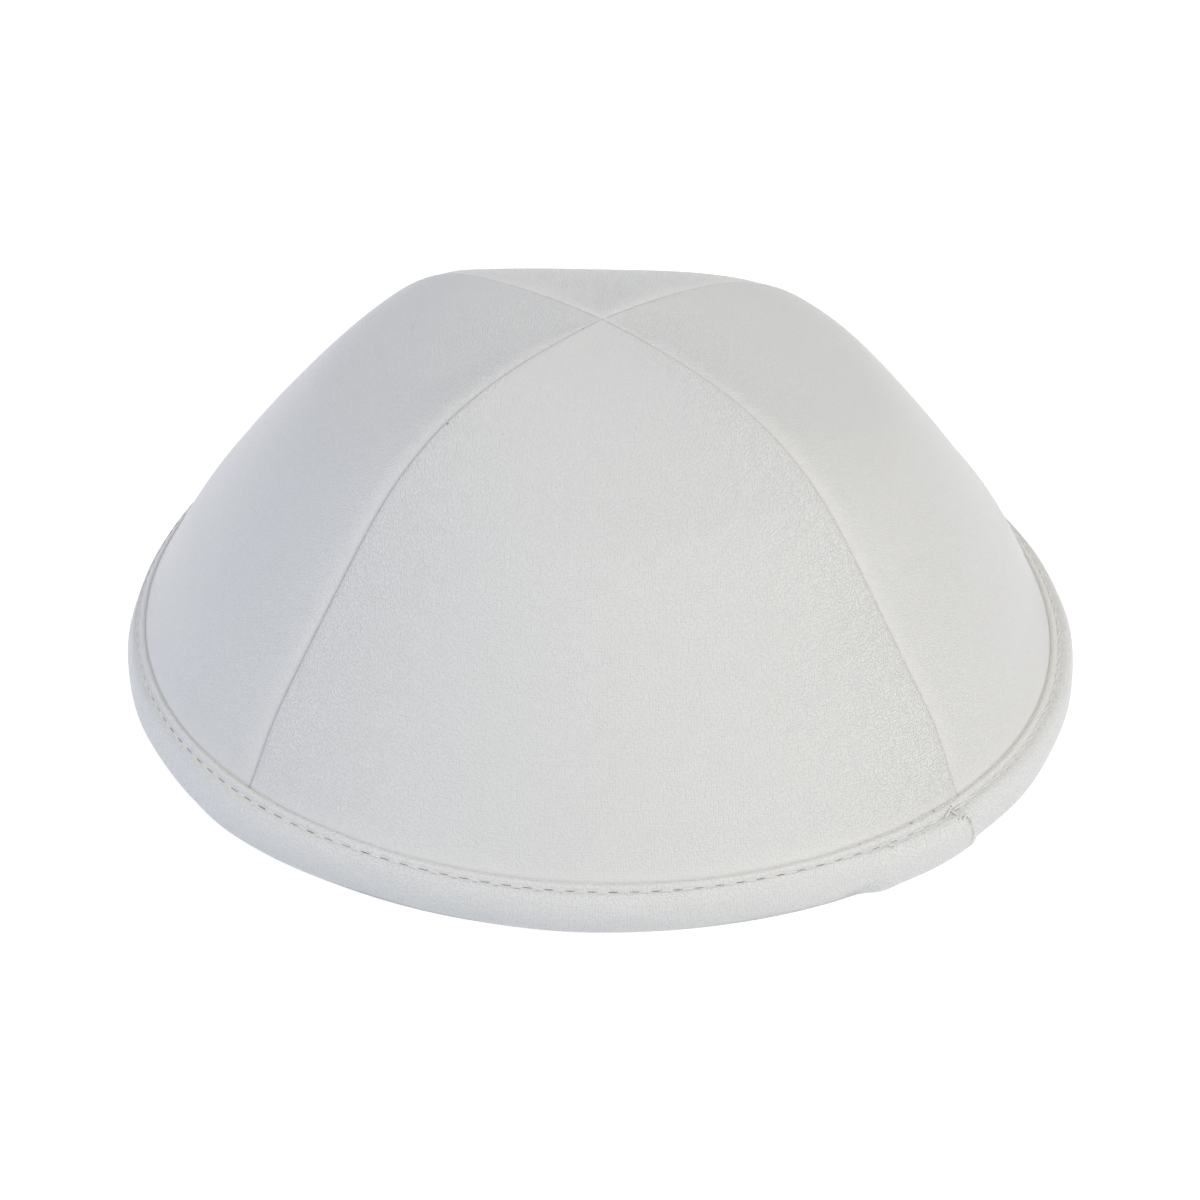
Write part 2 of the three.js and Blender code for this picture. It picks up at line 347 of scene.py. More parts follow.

# How the sewing changes round the rim, by degrees from +X: how dark the painted shade in the needle slots
# is, whether a second row of stitches runs beside the first, and how far the thread stands up
SEWING = [
    {"angle": -180.0, "dark": 0.1, "doubled": 0.0, "raised": 0.0},
    {"angle": -160.0, "dark": 0.2, "doubled": 0.0, "raised": 0.0},
    {"angle": -148.0, "dark": 0.7, "doubled": 0.0, "raised": 0.0},
    {"angle": -111.0, "dark": 0.9, "doubled": 0.0, "raised": 0.0},
    {"angle": -108.0, "dark": 0.8, "doubled": 1.0, "raised": 0.0},
    {"angle": -96.0, "dark": 0.8, "doubled": 1.0, "raised": 0.0},
    {"angle": -94.0, "dark": 0.9, "doubled": 0.0, "raised": 0.0},
    {"angle": -66.0, "dark": 0.85, "doubled": 0.0, "raised": 0.2},
    {"angle": -56.0, "dark": 0.6, "doubled": 0.3, "raised": 0.5},
    {"angle": -50.0, "dark": 0.5, "doubled": 0.7, "raised": 0.8},
    {"angle": -46.5, "dark": 0.25, "doubled": 0.0, "raised": 0.9},
    {"angle": -43.0, "dark": 0.15, "doubled": 0.0, "raised": 1.0},
    {"angle": 12.0, "dark": 0.2, "doubled": 0.0, "raised": 1.0},
    {"angle": 28.0, "dark": 0.3, "doubled": 0.0, "raised": 0.3},
    {"angle": 60.0, "dark": 0.5, "doubled": 0.0, "raised": 0.0},
    {"angle": 130.0, "dark": 0.5, "doubled": 0.0, "raised": 0.0},
    {"angle": 180.0, "dark": 0.2, "doubled": 0.0, "raised": 0.0},
]

# How dark the strip's painted shade is where it turns under, by degrees from +X
FOOT_SHADE = [
    {"angle": -180.0, "tone": 1.4},
    {"angle": -150.0, "tone": 1.25},
    {"angle": -120.0, "tone": 1.05},
    {"angle": -90.0, "tone": 0.95},
    {"angle": -63.0, "tone": 0.5},
    {"angle": -30.0, "tone": 0.65},
    {"angle": 0.0, "tone": 0.8},
    {"angle": 180.0, "tone": 1.4},
]

# Needle holes and loose stitch ends on the binding near its joint, painted as dark spots of shade: degrees
# from +X, mm out from the fold line, radius in mm, and how dark each is
STRIP_MARKS = [
    {"angle": -45.95, "out": 0.6, "radius": 0.25, "dark": 0.6},
    {"angle": -46.9, "out": 1.9, "radius": 0.2, "dark": 0.45},
    {"angle": -46.35, "out": 2.25, "radius": 0.2, "dark": 0.5},
    {"angle": -45.45, "out": 2.35, "radius": 0.18, "dark": 0.45},
    {"angle": -48.1, "out": 0.0, "radius": 0.3, "dark": 0.5},
    {"angle": -51.6, "out": 0.0, "radius": 0.4, "dark": 0.45},
    {"angle": -58.8, "out": 0.0, "radius": 0.3, "dark": 0.4},
]

# Stray threads on the binding: degrees from +X and mm out from the fold line at both ends, and how
# high the middle lifts, in mm
STRANDS = [
    {"from": -47.7, "from_out": 1.62, "to": -45.95, "to_out": 0.75, "lift": 0.25},
    {"from": -46.5, "from_out": 0.95, "to": -46.1, "to_out": 2.15, "lift": 0.25},
    {"from": -46.3, "from_out": 1.3, "to": -43.9, "to_out": 1.35, "lift": 0.25},
    {"from": -46.2, "from_out": 2.2, "to": -45.6, "to_out": 2.1, "lift": 0.3},
    {"from": -46.0, "from_out": 2.5, "to": -45.1, "to_out": 2.3, "lift": 0.35},
    {"from": -45.4, "from_out": 2.2, "to": -44.9, "to_out": 2.7, "lift": 0.3},
    {"from": -56.1, "from_out": 1.75, "to": -55.2, "to_out": 2.05, "lift": 0.3},
    {"from": -96.9, "from_out": 1.7, "to": -96.3, "to_out": 2.6, "lift": 0.12},
    {"from": -95.6, "from_out": 1.8, "to": -95.9, "to_out": 2.5, "lift": 0.12},
]

# Tones of the hide as shares of its colour: where its mottle is pale and where it is dull, on the tops
# of its pebbles, a painted highlight, and down between them, dirt and painted shade
HIDE_TONES = (1.03, 0.97, 1.45, 0.7)

# How far a pebble takes its top's painted highlight for each unit of grain depth, and the painted highlight
# beside the seams and the fold its paler colour
PEBBLE_TOP_HIGHLIGHT = 0.175
HIGHLIGHT_STRENGTH = 0.55

# What the creases, the mottle and the suede side add to the roughness
CREASE_ROUGHNESS = 0.12
MOTTLE_ROUGHNESS = 0.1
INSIDE_ROUGHNESS = 0.4

# How far the pebbles are bent aside, and how the wrinkles are stretched across the hide
GRAIN_BEND = 0.7 * MM
WRINKLE_STRETCH = (0.35, 1.8, 1.0)

# Needle slots, painted as shade: half their length in stitches at the cap's left and right, half their
# width in mm, how dark the faintest is, and how much darker the darkest
SLOT_REACH = {"left": 0.36, "right": 0.27}
SLOT_HALF_WIDTH = 0.075
SLOT_FAINTEST = 0.7
SLOT_VARIES = 0.4

# Their second row: its shift in stitches, how far below the first it lies and half its width in mm, and
# half its length and its darkness, both where doubled is 0 and what a doubled of 1 adds
SECOND_ROW = {"shift": 0.45, "below": 0.5, "half_width": 0.085, "least": 0.045, "grows": 0.13,
              "faintest": 0.3, "darkens": 0.6}

# The line at the joint, dirt and painted shade: how dark it is, how far out it starts on the strip's upper
# side and over which way it comes in, both in mm, and the share of the way down below which it is full
JOINT_DIRT_SHADE = 0.65
JOINT_OUT = 2.2
JOINT_EASE = 0.4
JOINT_FULL = 0.4

# Lights, square and all at the same distance from the cap: azimuth and elevation in degrees, power in watts
LIGHT_DISTANCE = 1.3
LIGHT_SIZE = 0.7
LIGHT_AIM_HEIGHT = 30 * MM
LIGHTS = [
    {"name": "right_softbox", "azimuth": -35, "elevation": 35, "power": 6.1, "tint": (1.0, 0.94, 0.65)},
    {"name": "left_softbox", "azimuth": -145, "elevation": 35, "power": 4.75, "tint": (0.62, 0.71, 1.0)},
    {"name": "low_right_softbox", "azimuth": -20, "elevation": 15, "power": 2.5, "tint": (0.34, 0.42, 1.0)},
    {"name": "back_softbox", "azimuth": 90, "elevation": 40, "power": 1.6, "tint": (1.0, 0.87, 0.87)},
    {"name": "top_softbox", "azimuth": 90, "elevation": 82, "power": 2.4, "tint": (0.88, 0.94, 1.0)},
    {"name": "high_front_softbox", "azimuth": -90, "elevation": 65, "power": 2.0, "tint": (1.0, 0.77, 0.54)},
]


def column(table, name):
    """One named column of a table as an array."""
    return np.array([row[name] for row in table], float)


def smooth_through(knots, values, at):
    """Value on a smooth curve through knots: a cubic between each two, whose slope at a knot is that of
    the line between the knots on both sides."""
    slopes = np.gradient(values, knots)
    slopes[1:-1] = (values[2:] - values[:-2]) / (knots[2:] - knots[:-2])
    low = np.clip(np.searchsorted(knots, at, side="right") - 1, 0, len(knots) - 2)
    span = knots[low + 1] - knots[low]
    t = (at - knots[low]) / span
    rise = values[low + 1] - values[low]
    first = slopes[low] * span
    bend = first + slopes[low + 1] * span - 2 * rise
    return values[low] + first * t + (rise - first - bend) * t**2 + bend * t**3


def skin_height(side, share):
    """Height of the crown's skin: from the gore's middle to its seam along a parabola across the gore,
    which eases into the binding's smooth wave near the fold."""
    knots = column(MERIDIAN, "share")
    mid = smooth_through(knots, column(MERIDIAN, "mid"), share)
    seam = smooth_through(knots, column(MERIDIAN, "seam"), share)
    wave = (1 - np.cos(np.pi * side)) / 2
    seam_share = side**2 + (wave - side**2) * share**3
    return (mid + (seam - mid) * seam_share) * MM


def fold_radius(side):
    """Plan radius of the fold line: a circle drawn out a little at the seams by a cosine."""
    return FOLD_RADIUS * (1 - RIM_SQUARE * np.cos(np.pi * side))


def stray(name, angle):
    """A column of the stray table, in metres, on a smooth closed curve at angles in radians."""
    knots = column(STRAY, "angle")
    values = column(STRAY, name)
    wrapped_knots = np.concatenate([knots[-2:] - 360, knots, knots[:2] + 360])
    wrapped = np.concatenate([values[-2:], values, values[:2]])
    turned = (np.degrees(angle) - knots[0]) % 360 + knots[0]
    return smooth_through(wrapped_knots, wrapped, turned) * MM


def gore_span(number):
    """Angles in degrees of a gore's two seams."""
    after = (number + 1) % len(SEAMS)
    turn = 360.0 if after == 0 else 0.0
    return SEAMS[number]["angle"], SEAMS[after]["angle"] + turn


def skin_points(number, side, share, down, out):
    """Points of a gore's smooth outer skin: plan place on the line from the apex to the fold line, or
    out beyond it in the tuck, and the skin's height, less the tuck's share of it. Near the rim each
    seam strays sideways along a bell curve of share, and takes the leather beside it along."""
    start, end = gore_span(number)
    angle = np.radians(start + (end - start) * (side + 1) / 2)
    bell = np.exp(-((share - DRIFT_SHARE) / DRIFT_REACH) ** 2)
    aside = SEAMS[number]["drift"] * ((1 - side) / 2) ** DRIFT_POWER
    aside = aside + SEAMS[(number + 1) % len(SEAMS)]["drift"] * ((1 + side) / 2) ** DRIFT_POWER
    angle = angle + bell * aside * MM / FOLD_RADIUS
    radius = fold_radius(side) + out + stray("fold", angle)
    foot = np.stack([radius * np.cos(angle), radius * np.sin(angle)], -1)
    plan = APEX + (foot - APEX) * share[..., None]
    height = skin_height(side, share) * (1 - down)
    return np.concatenate([plan, height[..., None]], -1)


def grid_normals(points):
    """Unit normals of a grid of points: the cross product of its two directions."""
    down = np.gradient(points, axis=0)
    across = np.gradient(points, axis=1)
    normals = np.cross(down, across)
    return normals / np.linalg.norm(normals, axis=-1, keepdims=True)


def grid_quads(rows, columns, start=0, wrap=False):
    """Vertex numbers of the quads of a grid, one row each. With wrap, the last column meets the first."""
    row, col = np.meshgrid(np.arange(rows - 1), np.arange(columns if wrap else columns - 1), indexing="ij")
    here = row * columns + col
    beside = row * columns + (col + 1) % columns
    quads = np.stack([here, here + columns, beside + columns, beside], -1)
    return quads.reshape(-1, 4) + start


def shell_quads(rows, columns):
    """Quads of a closed wall whose outer grid comes first and whose inner grid follows."""
    inner = rows * columns
    outside = grid_quads(rows, columns)
    inside = grid_quads(rows, columns, inner)[:, ::-1]
    left = np.arange(rows) * columns
    right = left + columns - 1
    top = np.arange(columns)
    bottom = top + (rows - 1) * columns
    edges = [
        np.stack([left[:-1], left[:-1] + inner, left[1:] + inner, left[1:]], -1),
        np.stack([right[:-1], right[1:], right[1:] + inner, right[:-1] + inner], -1),
        np.stack([top[:-1], top[1:], top[1:] + inner, top[:-1] + inner], -1),
        np.stack([bottom[:-1], bottom[:-1] + inner, bottom[1:] + inner, bottom[1:]], -1),
    ]
    return np.concatenate([outside, inside, *edges])


def mesh_object(name, vertices, quads):
    """A smooth-shaded mesh object at the origin from arrays of points and quads."""
    mesh = bpy.data.meshes.new(name)
    mesh.vertices.add(len(vertices))
    mesh.vertices.foreach_set("co", vertices.astype(np.float32).ravel())
    mesh.loops.add(quads.size)
    mesh.loops.foreach_set("vertex_index", quads.astype(np.int32).ravel())
    mesh.polygons.add(len(quads))
    mesh.polygons.foreach_set("loop_start", np.arange(0, quads.size, 4, dtype=np.int32))
    mesh.polygons.foreach_set("use_smooth", np.ones(len(quads), bool))
    mesh.update(calc_edges=True)
    if mesh.validate():
        raise RuntimeError(f"{name}: the mesh had faults")
    piece = bpy.data.objects.new(name, mesh)
    bpy.context.scene.collection.objects.link(piece)
    return piece


def point_attribute(piece, name, values):
    """Stores one number for each vertex under a name that a material can read."""
    attribute = piece.data.attributes.new(name, "FLOAT", "POINT")
    attribute.data.foreach_set("value", values.astype(np.float32).ravel())


def uv_map(piece, name, uv):
    """Stores a UV map: a pair of numbers for each corner of each quad."""
    layer = piece.data.uv_layers.new(name=name)
    layer.data.foreach_set("uv", uv.astype(np.float32).ravel())


def finish_piece(piece, slot, *nodes):
    """Puts a piece on its body, in place of the CAD nodes it stands for. slot is not used."""
    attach(piece, BODY)
    if nodes:
        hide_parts(*nodes)


# Materials


def new_node(tree, kind, place, **values):
    """Adds a node at a place in the node editor and sets its named properties."""
    node = tree.nodes.new(kind)
    node.location = place
    for name, value in values.items():
        setattr(node, name, value)
    return node


def set_inputs(node, **values):
    """Sets input sockets by name, with _ standing for a space."""
    for name, value in values.items():
        node.inputs[name.replace("_", " ")].default_value = value


def new_group(name, inputs, outputs):
    """A node group with its input and output nodes. inputs names each input socket with its default,
    and outputs each output socket with what it is like: a number, a vector of 3 or a colour of 4."""
    group = bpy.data.node_groups.new(name, "ShaderNodeTree")
    kinds = {1: "NodeSocketFloat", 3: "NodeSocketVector", 4: "NodeSocketColor"}
    for direction, sockets in (("INPUT", inputs), ("OUTPUT", outputs)):
        for socket_name, default in sockets.items():
            socket = group.interface.new_socket(name=socket_name, in_out=direction,
                                                socket_type=kinds[np.size(default)])
            socket.default_value = default
    return group, new_node(group, "NodeGroupInput", (-1000, 0)), new_node(group, "NodeGroupOutput", (700, 0))


def attribute(tree, name, place):
    """The number that the mesh stores for each vertex under a name, as an output socket."""
    return new_node(tree, "ShaderNodeAttribute", place, attribute_name=name).outputs["Fac"]


def maths(tree, operation, first, second, place, third=None):
    """A Math node. Each operand is a number or an output socket; the result socket is returned."""
    node = new_node(tree, "ShaderNodeMath", place, operation=operation)
    for index, operand in enumerate((first, second, third)):
        if operand is None:
            continue
        if isinstance(operand, (int, float)):
            node.inputs[index].default_value = operand
        else:
            tree.links.new(operand, node.inputs[index])
    return node.outputs[0]


def mix_colour(tree, factor, first, second, place, blend="MIX"):
    """A colour Mix node. Each colour is a tuple or an output socket; the result socket is returned."""
    node = new_node(tree, "ShaderNodeMix", place, data_type="RGBA", blend_type=blend)
    for socket, operand in ((node.inputs[0], factor), (node.inputs[6], first), (node.inputs[7], second)):
        if isinstance(operand, (int, float)):
            socket.default_value = operand
        elif isinstance(operand, tuple):
            socket.default_value = (*operand, 1.0)
        else:
            tree.links.new(operand, socket)
    return node.outputs[2]


def pebble_grain_group():
    """Leather grain on a flat vector in metres: rounded pebbles, bent by a slow noise, over fine pores
    and faint wrinkles across the hide. Each pebble's height falls as the square of the distance from
    its middle. Height is high on the pebbles; Crease is 1 down between them."""
    inputs = {"Vector": (0.0, 0.0, 0.0), "Cells Per Metre": 2250.0, "Pores": 0.35, "Wrinkles": 0.3}
    group, source, sink = new_group("pebble_grain", inputs, {"Height": 0.0, "Crease": 0.0})
    bend = new_node(group, "ShaderNodeTexNoise", (-800, -200))
    set_inputs(bend, Scale=300.0, Detail=1.0)
    group.links.new(source.outputs["Vector"], bend.inputs["Vector"])
    shift = new_node(group, "ShaderNodeVectorMath", (-460, -200), operation="MULTIPLY_ADD")
    shift.inputs[1].default_value = (GRAIN_BEND, GRAIN_BEND, GRAIN_BEND)
    group.links.new(bend.outputs["Color"], shift.inputs[0])
    group.links.new(source.outputs["Vector"], shift.inputs[2])

    cells = new_node(group, "ShaderNodeTexVoronoi", (-260, 0), feature="F1", voronoi_dimensions="2D")
    set_inputs(cells, Randomness=0.6)
    group.links.new(shift.outputs[0], cells.inputs["Vector"])
    group.links.new(source.outputs["Cells Per Metre"], cells.inputs["Scale"])
    pores = new_node(group, "ShaderNodeTexNoise", (-260, -420))
    set_inputs(pores, Scale=2600.0, Detail=1.0)
    group.links.new(source.outputs["Vector"], pores.inputs["Vector"])
    stretch = new_node(group, "ShaderNodeVectorMath", (-460, -620), operation="MULTIPLY")
    stretch.inputs[1].default_value = WRINKLE_STRETCH
    group.links.new(source.outputs["Vector"], stretch.inputs[0])
    wrinkles = new_node(group, "ShaderNodeTexNoise", (-260, -620))
    set_inputs(wrinkles, Scale=520.0, Detail=1.0)
    group.links.new(stretch.outputs[0], wrinkles.inputs["Vector"])

    squared = maths(group, "POWER", cells.outputs["Distance"], 2.0, (-80, 150))
    dome = new_node(group, "ShaderNodeMapRange", (80, 150))
    set_inputs(dome, From_Min=0.0, From_Max=0.42, To_Min=1.0, To_Max=0.0)
    crease = new_node(group, "ShaderNodeMapRange", (80, -100), interpolation_type="SMOOTHSTEP")
    set_inputs(crease, From_Min=0.1, From_Max=0.42, To_Min=0.0, To_Max=1.0)
    for shape in (dome, crease):
        group.links.new(squared, shape.inputs["Value"])
    pored = maths(group, "MULTIPLY", pores.outputs["Fac"], source.outputs["Pores"], (140, -400))
    wrinkled = maths(group, "MULTIPLY", wrinkles.outputs["Fac"], source.outputs["Wrinkles"], (140, -600))
    uneven = maths(group, "ADD", pored, wrinkled, (320, -450))
    height = maths(group, "ADD", dome.outputs["Result"], uneven, (500, 0))
    group.links.new(height, sink.inputs["Height"])
    group.links.new(crease.outputs["Result"], sink.inputs["Crease"])
    return group


def speck_group():
    """A small round speck: Mask is 1 within half of Radius from Centre and 0 beyond Radius."""
    inputs = {"Vector": (0.0, 0.0, 0.0), "Centre": (0.0, 0.0, 0.0), "Radius": 0.3 * MM}
    group, source, sink = new_group("speck", inputs, {"Mask": 0.0})
    away = new_node(group, "ShaderNodeVectorMath", (-400, 0), operation="DISTANCE")
    group.links.new(source.outputs["Vector"], away.inputs[0])
    group.links.new(source.outputs["Centre"], away.inputs[1])
    ratio = maths(group, "DIVIDE", away.outputs["Value"], source.outputs["Radius"], (-200, 0))
    mask = new_node(group, "ShaderNodeMapRange", (0, 0), interpolation_type="SMOOTHSTEP")
    set_inputs(mask, From_Min=0.5, From_Max=1.0, To_Min=1.0, To_Max=0.0)
    group.links.new(ratio, mask.inputs["Value"])
    group.links.new(mask.outputs["Result"], sink.inputs["Mask"])
    return group


def crevice_tint_group():
    """Colour of the dirt and painted shade in the crevices: olive on one side of the cap, brown on the other,
    by X.
    """
    inputs = {"Vector": (0.0, 0.0, 0.0), "Left Colour": (0.33, 0.33, 0.25, 1.0),
              "Right Colour": (0.4, 0.3, 0.2, 1.0)}
    group, source, sink = new_group("crevice_tint", inputs, {"Color": (0.0, 0.0, 0.0, 1.0)})
    parts = new_node(group, "ShaderNodeSeparateXYZ", (-400, 0))
    group.links.new(source.outputs["Vector"], parts.inputs["Vector"])
    across = new_node(group, "ShaderNodeMapRange", (-200, 0), interpolation_type="SMOOTHSTEP")
    set_inputs(across, From_Min=-0.03, From_Max=0.05)
    group.links.new(parts.outputs["X"], across.inputs["Value"])
    tint = new_node(group, "ShaderNodeMix", (0, 0), data_type="RGBA")
    group.links.new(across.outputs["Result"], tint.inputs[0])
    group.links.new(source.outputs["Left Colour"], tint.inputs[6])
    group.links.new(source.outputs["Right Colour"], tint.inputs[7])
    group.links.new(tint.outputs[2], sink.inputs["Color"])
    return group


def soft_mottle_group():
    """Slow unevenness of a hide: two noises of different size, centred on 0.5."""
    inputs = {"Vector": (0.0, 0.0, 0.0), "Amount": 0.5}
    group, source, sink = new_group("soft_mottle", inputs, {"Factor": 0.0})
    slow = new_node(group, "ShaderNodeTexNoise", (-480, 120))
    set_inputs(slow, Scale=38.0, Detail=3.0)
    quick = new_node(group, "ShaderNodeTexNoise", (-480, -160))
    set_inputs(quick, Scale=210.0, Detail=2.0)
    for texture in (slow, quick):
        group.links.new(source.outputs["Vector"], texture.inputs["Vector"])
    both = maths(group, "ADD", slow.outputs["Fac"], quick.outputs["Fac"], (-240, 0))
    centred = maths(group, "SUBTRACT", both, 1.0, (-80, 0))
    scaled = maths(group, "MULTIPLY", centred, source.outputs["Amount"], (80, 0))
    factor = maths(group, "ADD", scaled, 0.5, (240, 0))
    group.links.new(factor, sink.inputs["Factor"])
    return group


def use_group(tree, name, maker, place):
    """A node that uses the named node group, which maker makes on first use."""
    node = new_node(tree, "ShaderNodeGroup", place)
    node.node_tree = bpy.data.node_groups.get(name) or maker()
    return node


def leather_base(name, settings, map_name, map_size):
    """A leather material with mottle on object coordinates, a suede inner side where the attribute
    inside is 1, a painted highlight where painted_highlight is 1, and dirt and painted shade in the fold's
    crevice where fold_dirt_and_shade is 1. The pebble tops get a painted highlight and the creases between
    them painted shade and dirt. The grain lies on the piece's own UV map, whose u and v are map_size metres
    long, and is as deep as grain_depth says. Returns the material, its tree, its shader, its object
    coordinates and its colour before the rest of the dirt and painted shade."""
    material = bpy.data.materials.new(name)
    material.use_nodes = True
    tree = material.node_tree
    shader = tree.nodes["Principled BSDF"]
    shader.location = (900, 0)
    tree.nodes["Material Output"].location = (1200, 0)
    place = new_node(tree, "ShaderNodeTexCoord", (-1300, 0)).outputs["Object"]
    grain = use_group(tree, "pebble_grain", pebble_grain_group, (-1000, -200))
    mottle = use_group(tree, "soft_mottle", soft_mottle_group, (-1000, 200))
    tint = use_group(tree, "crevice_tint", crevice_tint_group, (-1000, 760))
    for group in (mottle, tint):
        tree.links.new(place, group.inputs["Vector"])
    laid = new_node(tree, "ShaderNodeUVMap", (-1400, -300), uv_map=map_name)
    sized = new_node(tree, "ShaderNodeVectorMath", (-1200, -300), operation="MULTIPLY")
    sized.inputs[1].default_value = (*map_size, 0.0)
    tree.links.new(laid.outputs["UV"], sized.inputs[0])
    tree.links.new(sized.outputs[0], grain.inputs["Vector"])

    pale, dull, top, deep = (tuple(part * tone for part in settings.colour) for tone in HIDE_TONES)
    inside = attribute(tree, "inside", (-1000, 480))
    hide = mix_colour(tree, mottle.outputs["Factor"], dull, pale, (-700, 250))
    depth = attribute(tree, "grain_depth", (-1000, 60))
    carved = maths(tree, "MULTIPLY", grain.outputs["Crease"], depth, (-860, -60))
    between = maths(tree, "MULTIPLY", carved, settings.crease_tone, (-760, 60))
    # Painted highlight on the pebble tops where the grain is deep; painted shade and dirt down in the creases
    raised = maths(tree, "MULTIPLY", depth, PEBBLE_TOP_HIGHLIGHT, (-760, 420))
    topped = mix_colour(tree, raised, hide, top, (-600, 300))
    creased = mix_colour(tree, between, topped, deep, (-500, 200))
    sided = mix_colour(tree, inside, creased, tuple(settings.flesh_colour), (-300, 250))
    # Dirt and painted shade in the crevice at the fold
    fold = attribute(tree, "fold_dirt_and_shade", (-500, 640))
    dirt_and_shade = maths(tree, "MULTIPLY", fold, settings.fold_dirt_and_shade, (-300, 640))
    # Painted highlight beside the seams, just above the fold and on the binding's bead
    painted_highlight = attribute(tree, "painted_highlight", (-500, 820))
    highlighted = maths(tree, "MULTIPLY", painted_highlight, HIGHLIGHT_STRENGTH, (-300, 820))
    highlit = mix_colour(tree, highlighted, sided, tuple(settings.highlight_colour), (-200, 420))
    folded = mix_colour(tree, dirt_and_shade, highlit, tint.outputs["Color"], (-100, 300))

    dulled = maths(tree, "MULTIPLY", grain.outputs["Crease"], CREASE_ROUGHNESS, (-500, -120))
    uneven = maths(tree, "MULTIPLY_ADD", mottle.outputs["Factor"], MOTTLE_ROUGHNESS, (-500, -280),
                   settings.roughness - MOTTLE_ROUGHNESS / 2)
    satin = maths(tree, "ADD", dulled, uneven, (-300, -180))
    matt = maths(tree, "MULTIPLY", inside, INSIDE_ROUGHNESS, (-300, -340))
    tree.links.new(maths(tree, "ADD", satin, matt, (-100, -200)), shader.inputs["Roughness"])

    bump = new_node(tree, "ShaderNodeBump", (300, -400))
    set_inputs(bump, Strength=0.8, Distance=settings.grain_height)
    height = maths(tree, "MULTIPLY", grain.outputs["Height"], depth, (100, -400))
    tree.links.new(height, bump.inputs["Height"])
    tree.links.new(bump.outputs["Normal"], shader.inputs["Normal"])
    set_inputs(shader, IOR=1.48, Specular_IOR_Level=0.35)
    return material, tree, shader, place, folded


def speck_shade(tree, place, centre, mark, corner):
    """Mask of one mark of a table on the piece, round its centre and as dark as the mark says."""
    speck = use_group(tree, "speck", speck_group, corner)
    speck.inputs["Centre"].default_value = tuple(centre)
    speck.inputs["Radius"].default_value = mark["radius"] * MM
    tree.links.new(place, speck.inputs["Vector"])
    return maths(tree, "MULTIPLY", speck.outputs["Mask"], mark["dark"], (corner[0] + 200, corner[1]))


def crown_leather(settings):
    """The gores' leather: the base, with dirt and painted shade down in the seams, a few needle holes painted
    dark with shade, and flecks.
    """
    material, tree, shader, place, base = leather_base("crown_leather", settings, "hide", (1.0, 1.0))
    # Dirt and painted shade down in the seams
    seam = attribute(tree, "seam_dirt_and_shade", (60, 800))
    seamed = mix_colour(tree, seam, base, tuple(settings.grime_and_shade_colour), (380, 480))
    # Needle holes painted dark with shade, and the flecks' own colour
    holes = None
    for index, mark in enumerate(MARKS):
        side, share = np.array([mark["side"]]), np.array([mark["share"]])
        centre = skin_points(mark["gore"], side, share, side * 0, side * 0)[0]
        shade = speck_shade(tree, place, centre, mark, (-300, 1000 + 180 * index))
        holes = maths(tree, "MAXIMUM", holes, shade, (60, 1000 + 180 * index)) if holes else shade
    marked = mix_colour(tree, holes, seamed, tuple(settings.hole_colour), (600, 480))
    tree.links.new(marked, shader.inputs["Base Color"])
    return material


def dash(tree, beat, across, half_length, half_width, place):
    """Mask of a short dash in the middle of each beat: half_length is a share of the beat, a number or
    a socket, and half_width is in the units of across."""
    x, y = place
    from_middle = maths(tree, "ABSOLUTE", maths(tree, "SUBTRACT", beat, 0.5, (x, y)), None, (x + 160, y))
    reach = maths(tree, "DIVIDE", from_middle, half_length, (x + 320, y))
    off_line = maths(tree, "DIVIDE", maths(tree, "ABSOLUTE", across, None, (x + 160, y - 160)), half_width,
                     (x + 320, y - 160))
    squares = [maths(tree, "POWER", part, 2.0, (x + 480, y)) for part in (reach, off_line)]
    mask = new_node(tree, "ShaderNodeMapRange", (x + 820, y), interpolation_type="SMOOTHSTEP")
    set_inputs(mask, From_Min=0.45, From_Max=1.3, To_Min=1.0, To_Max=0.0)
    tree.links.new(maths(tree, "ADD", *squares, (x + 640, y)), mask.inputs["Value"])
    return mask.outputs["Result"]


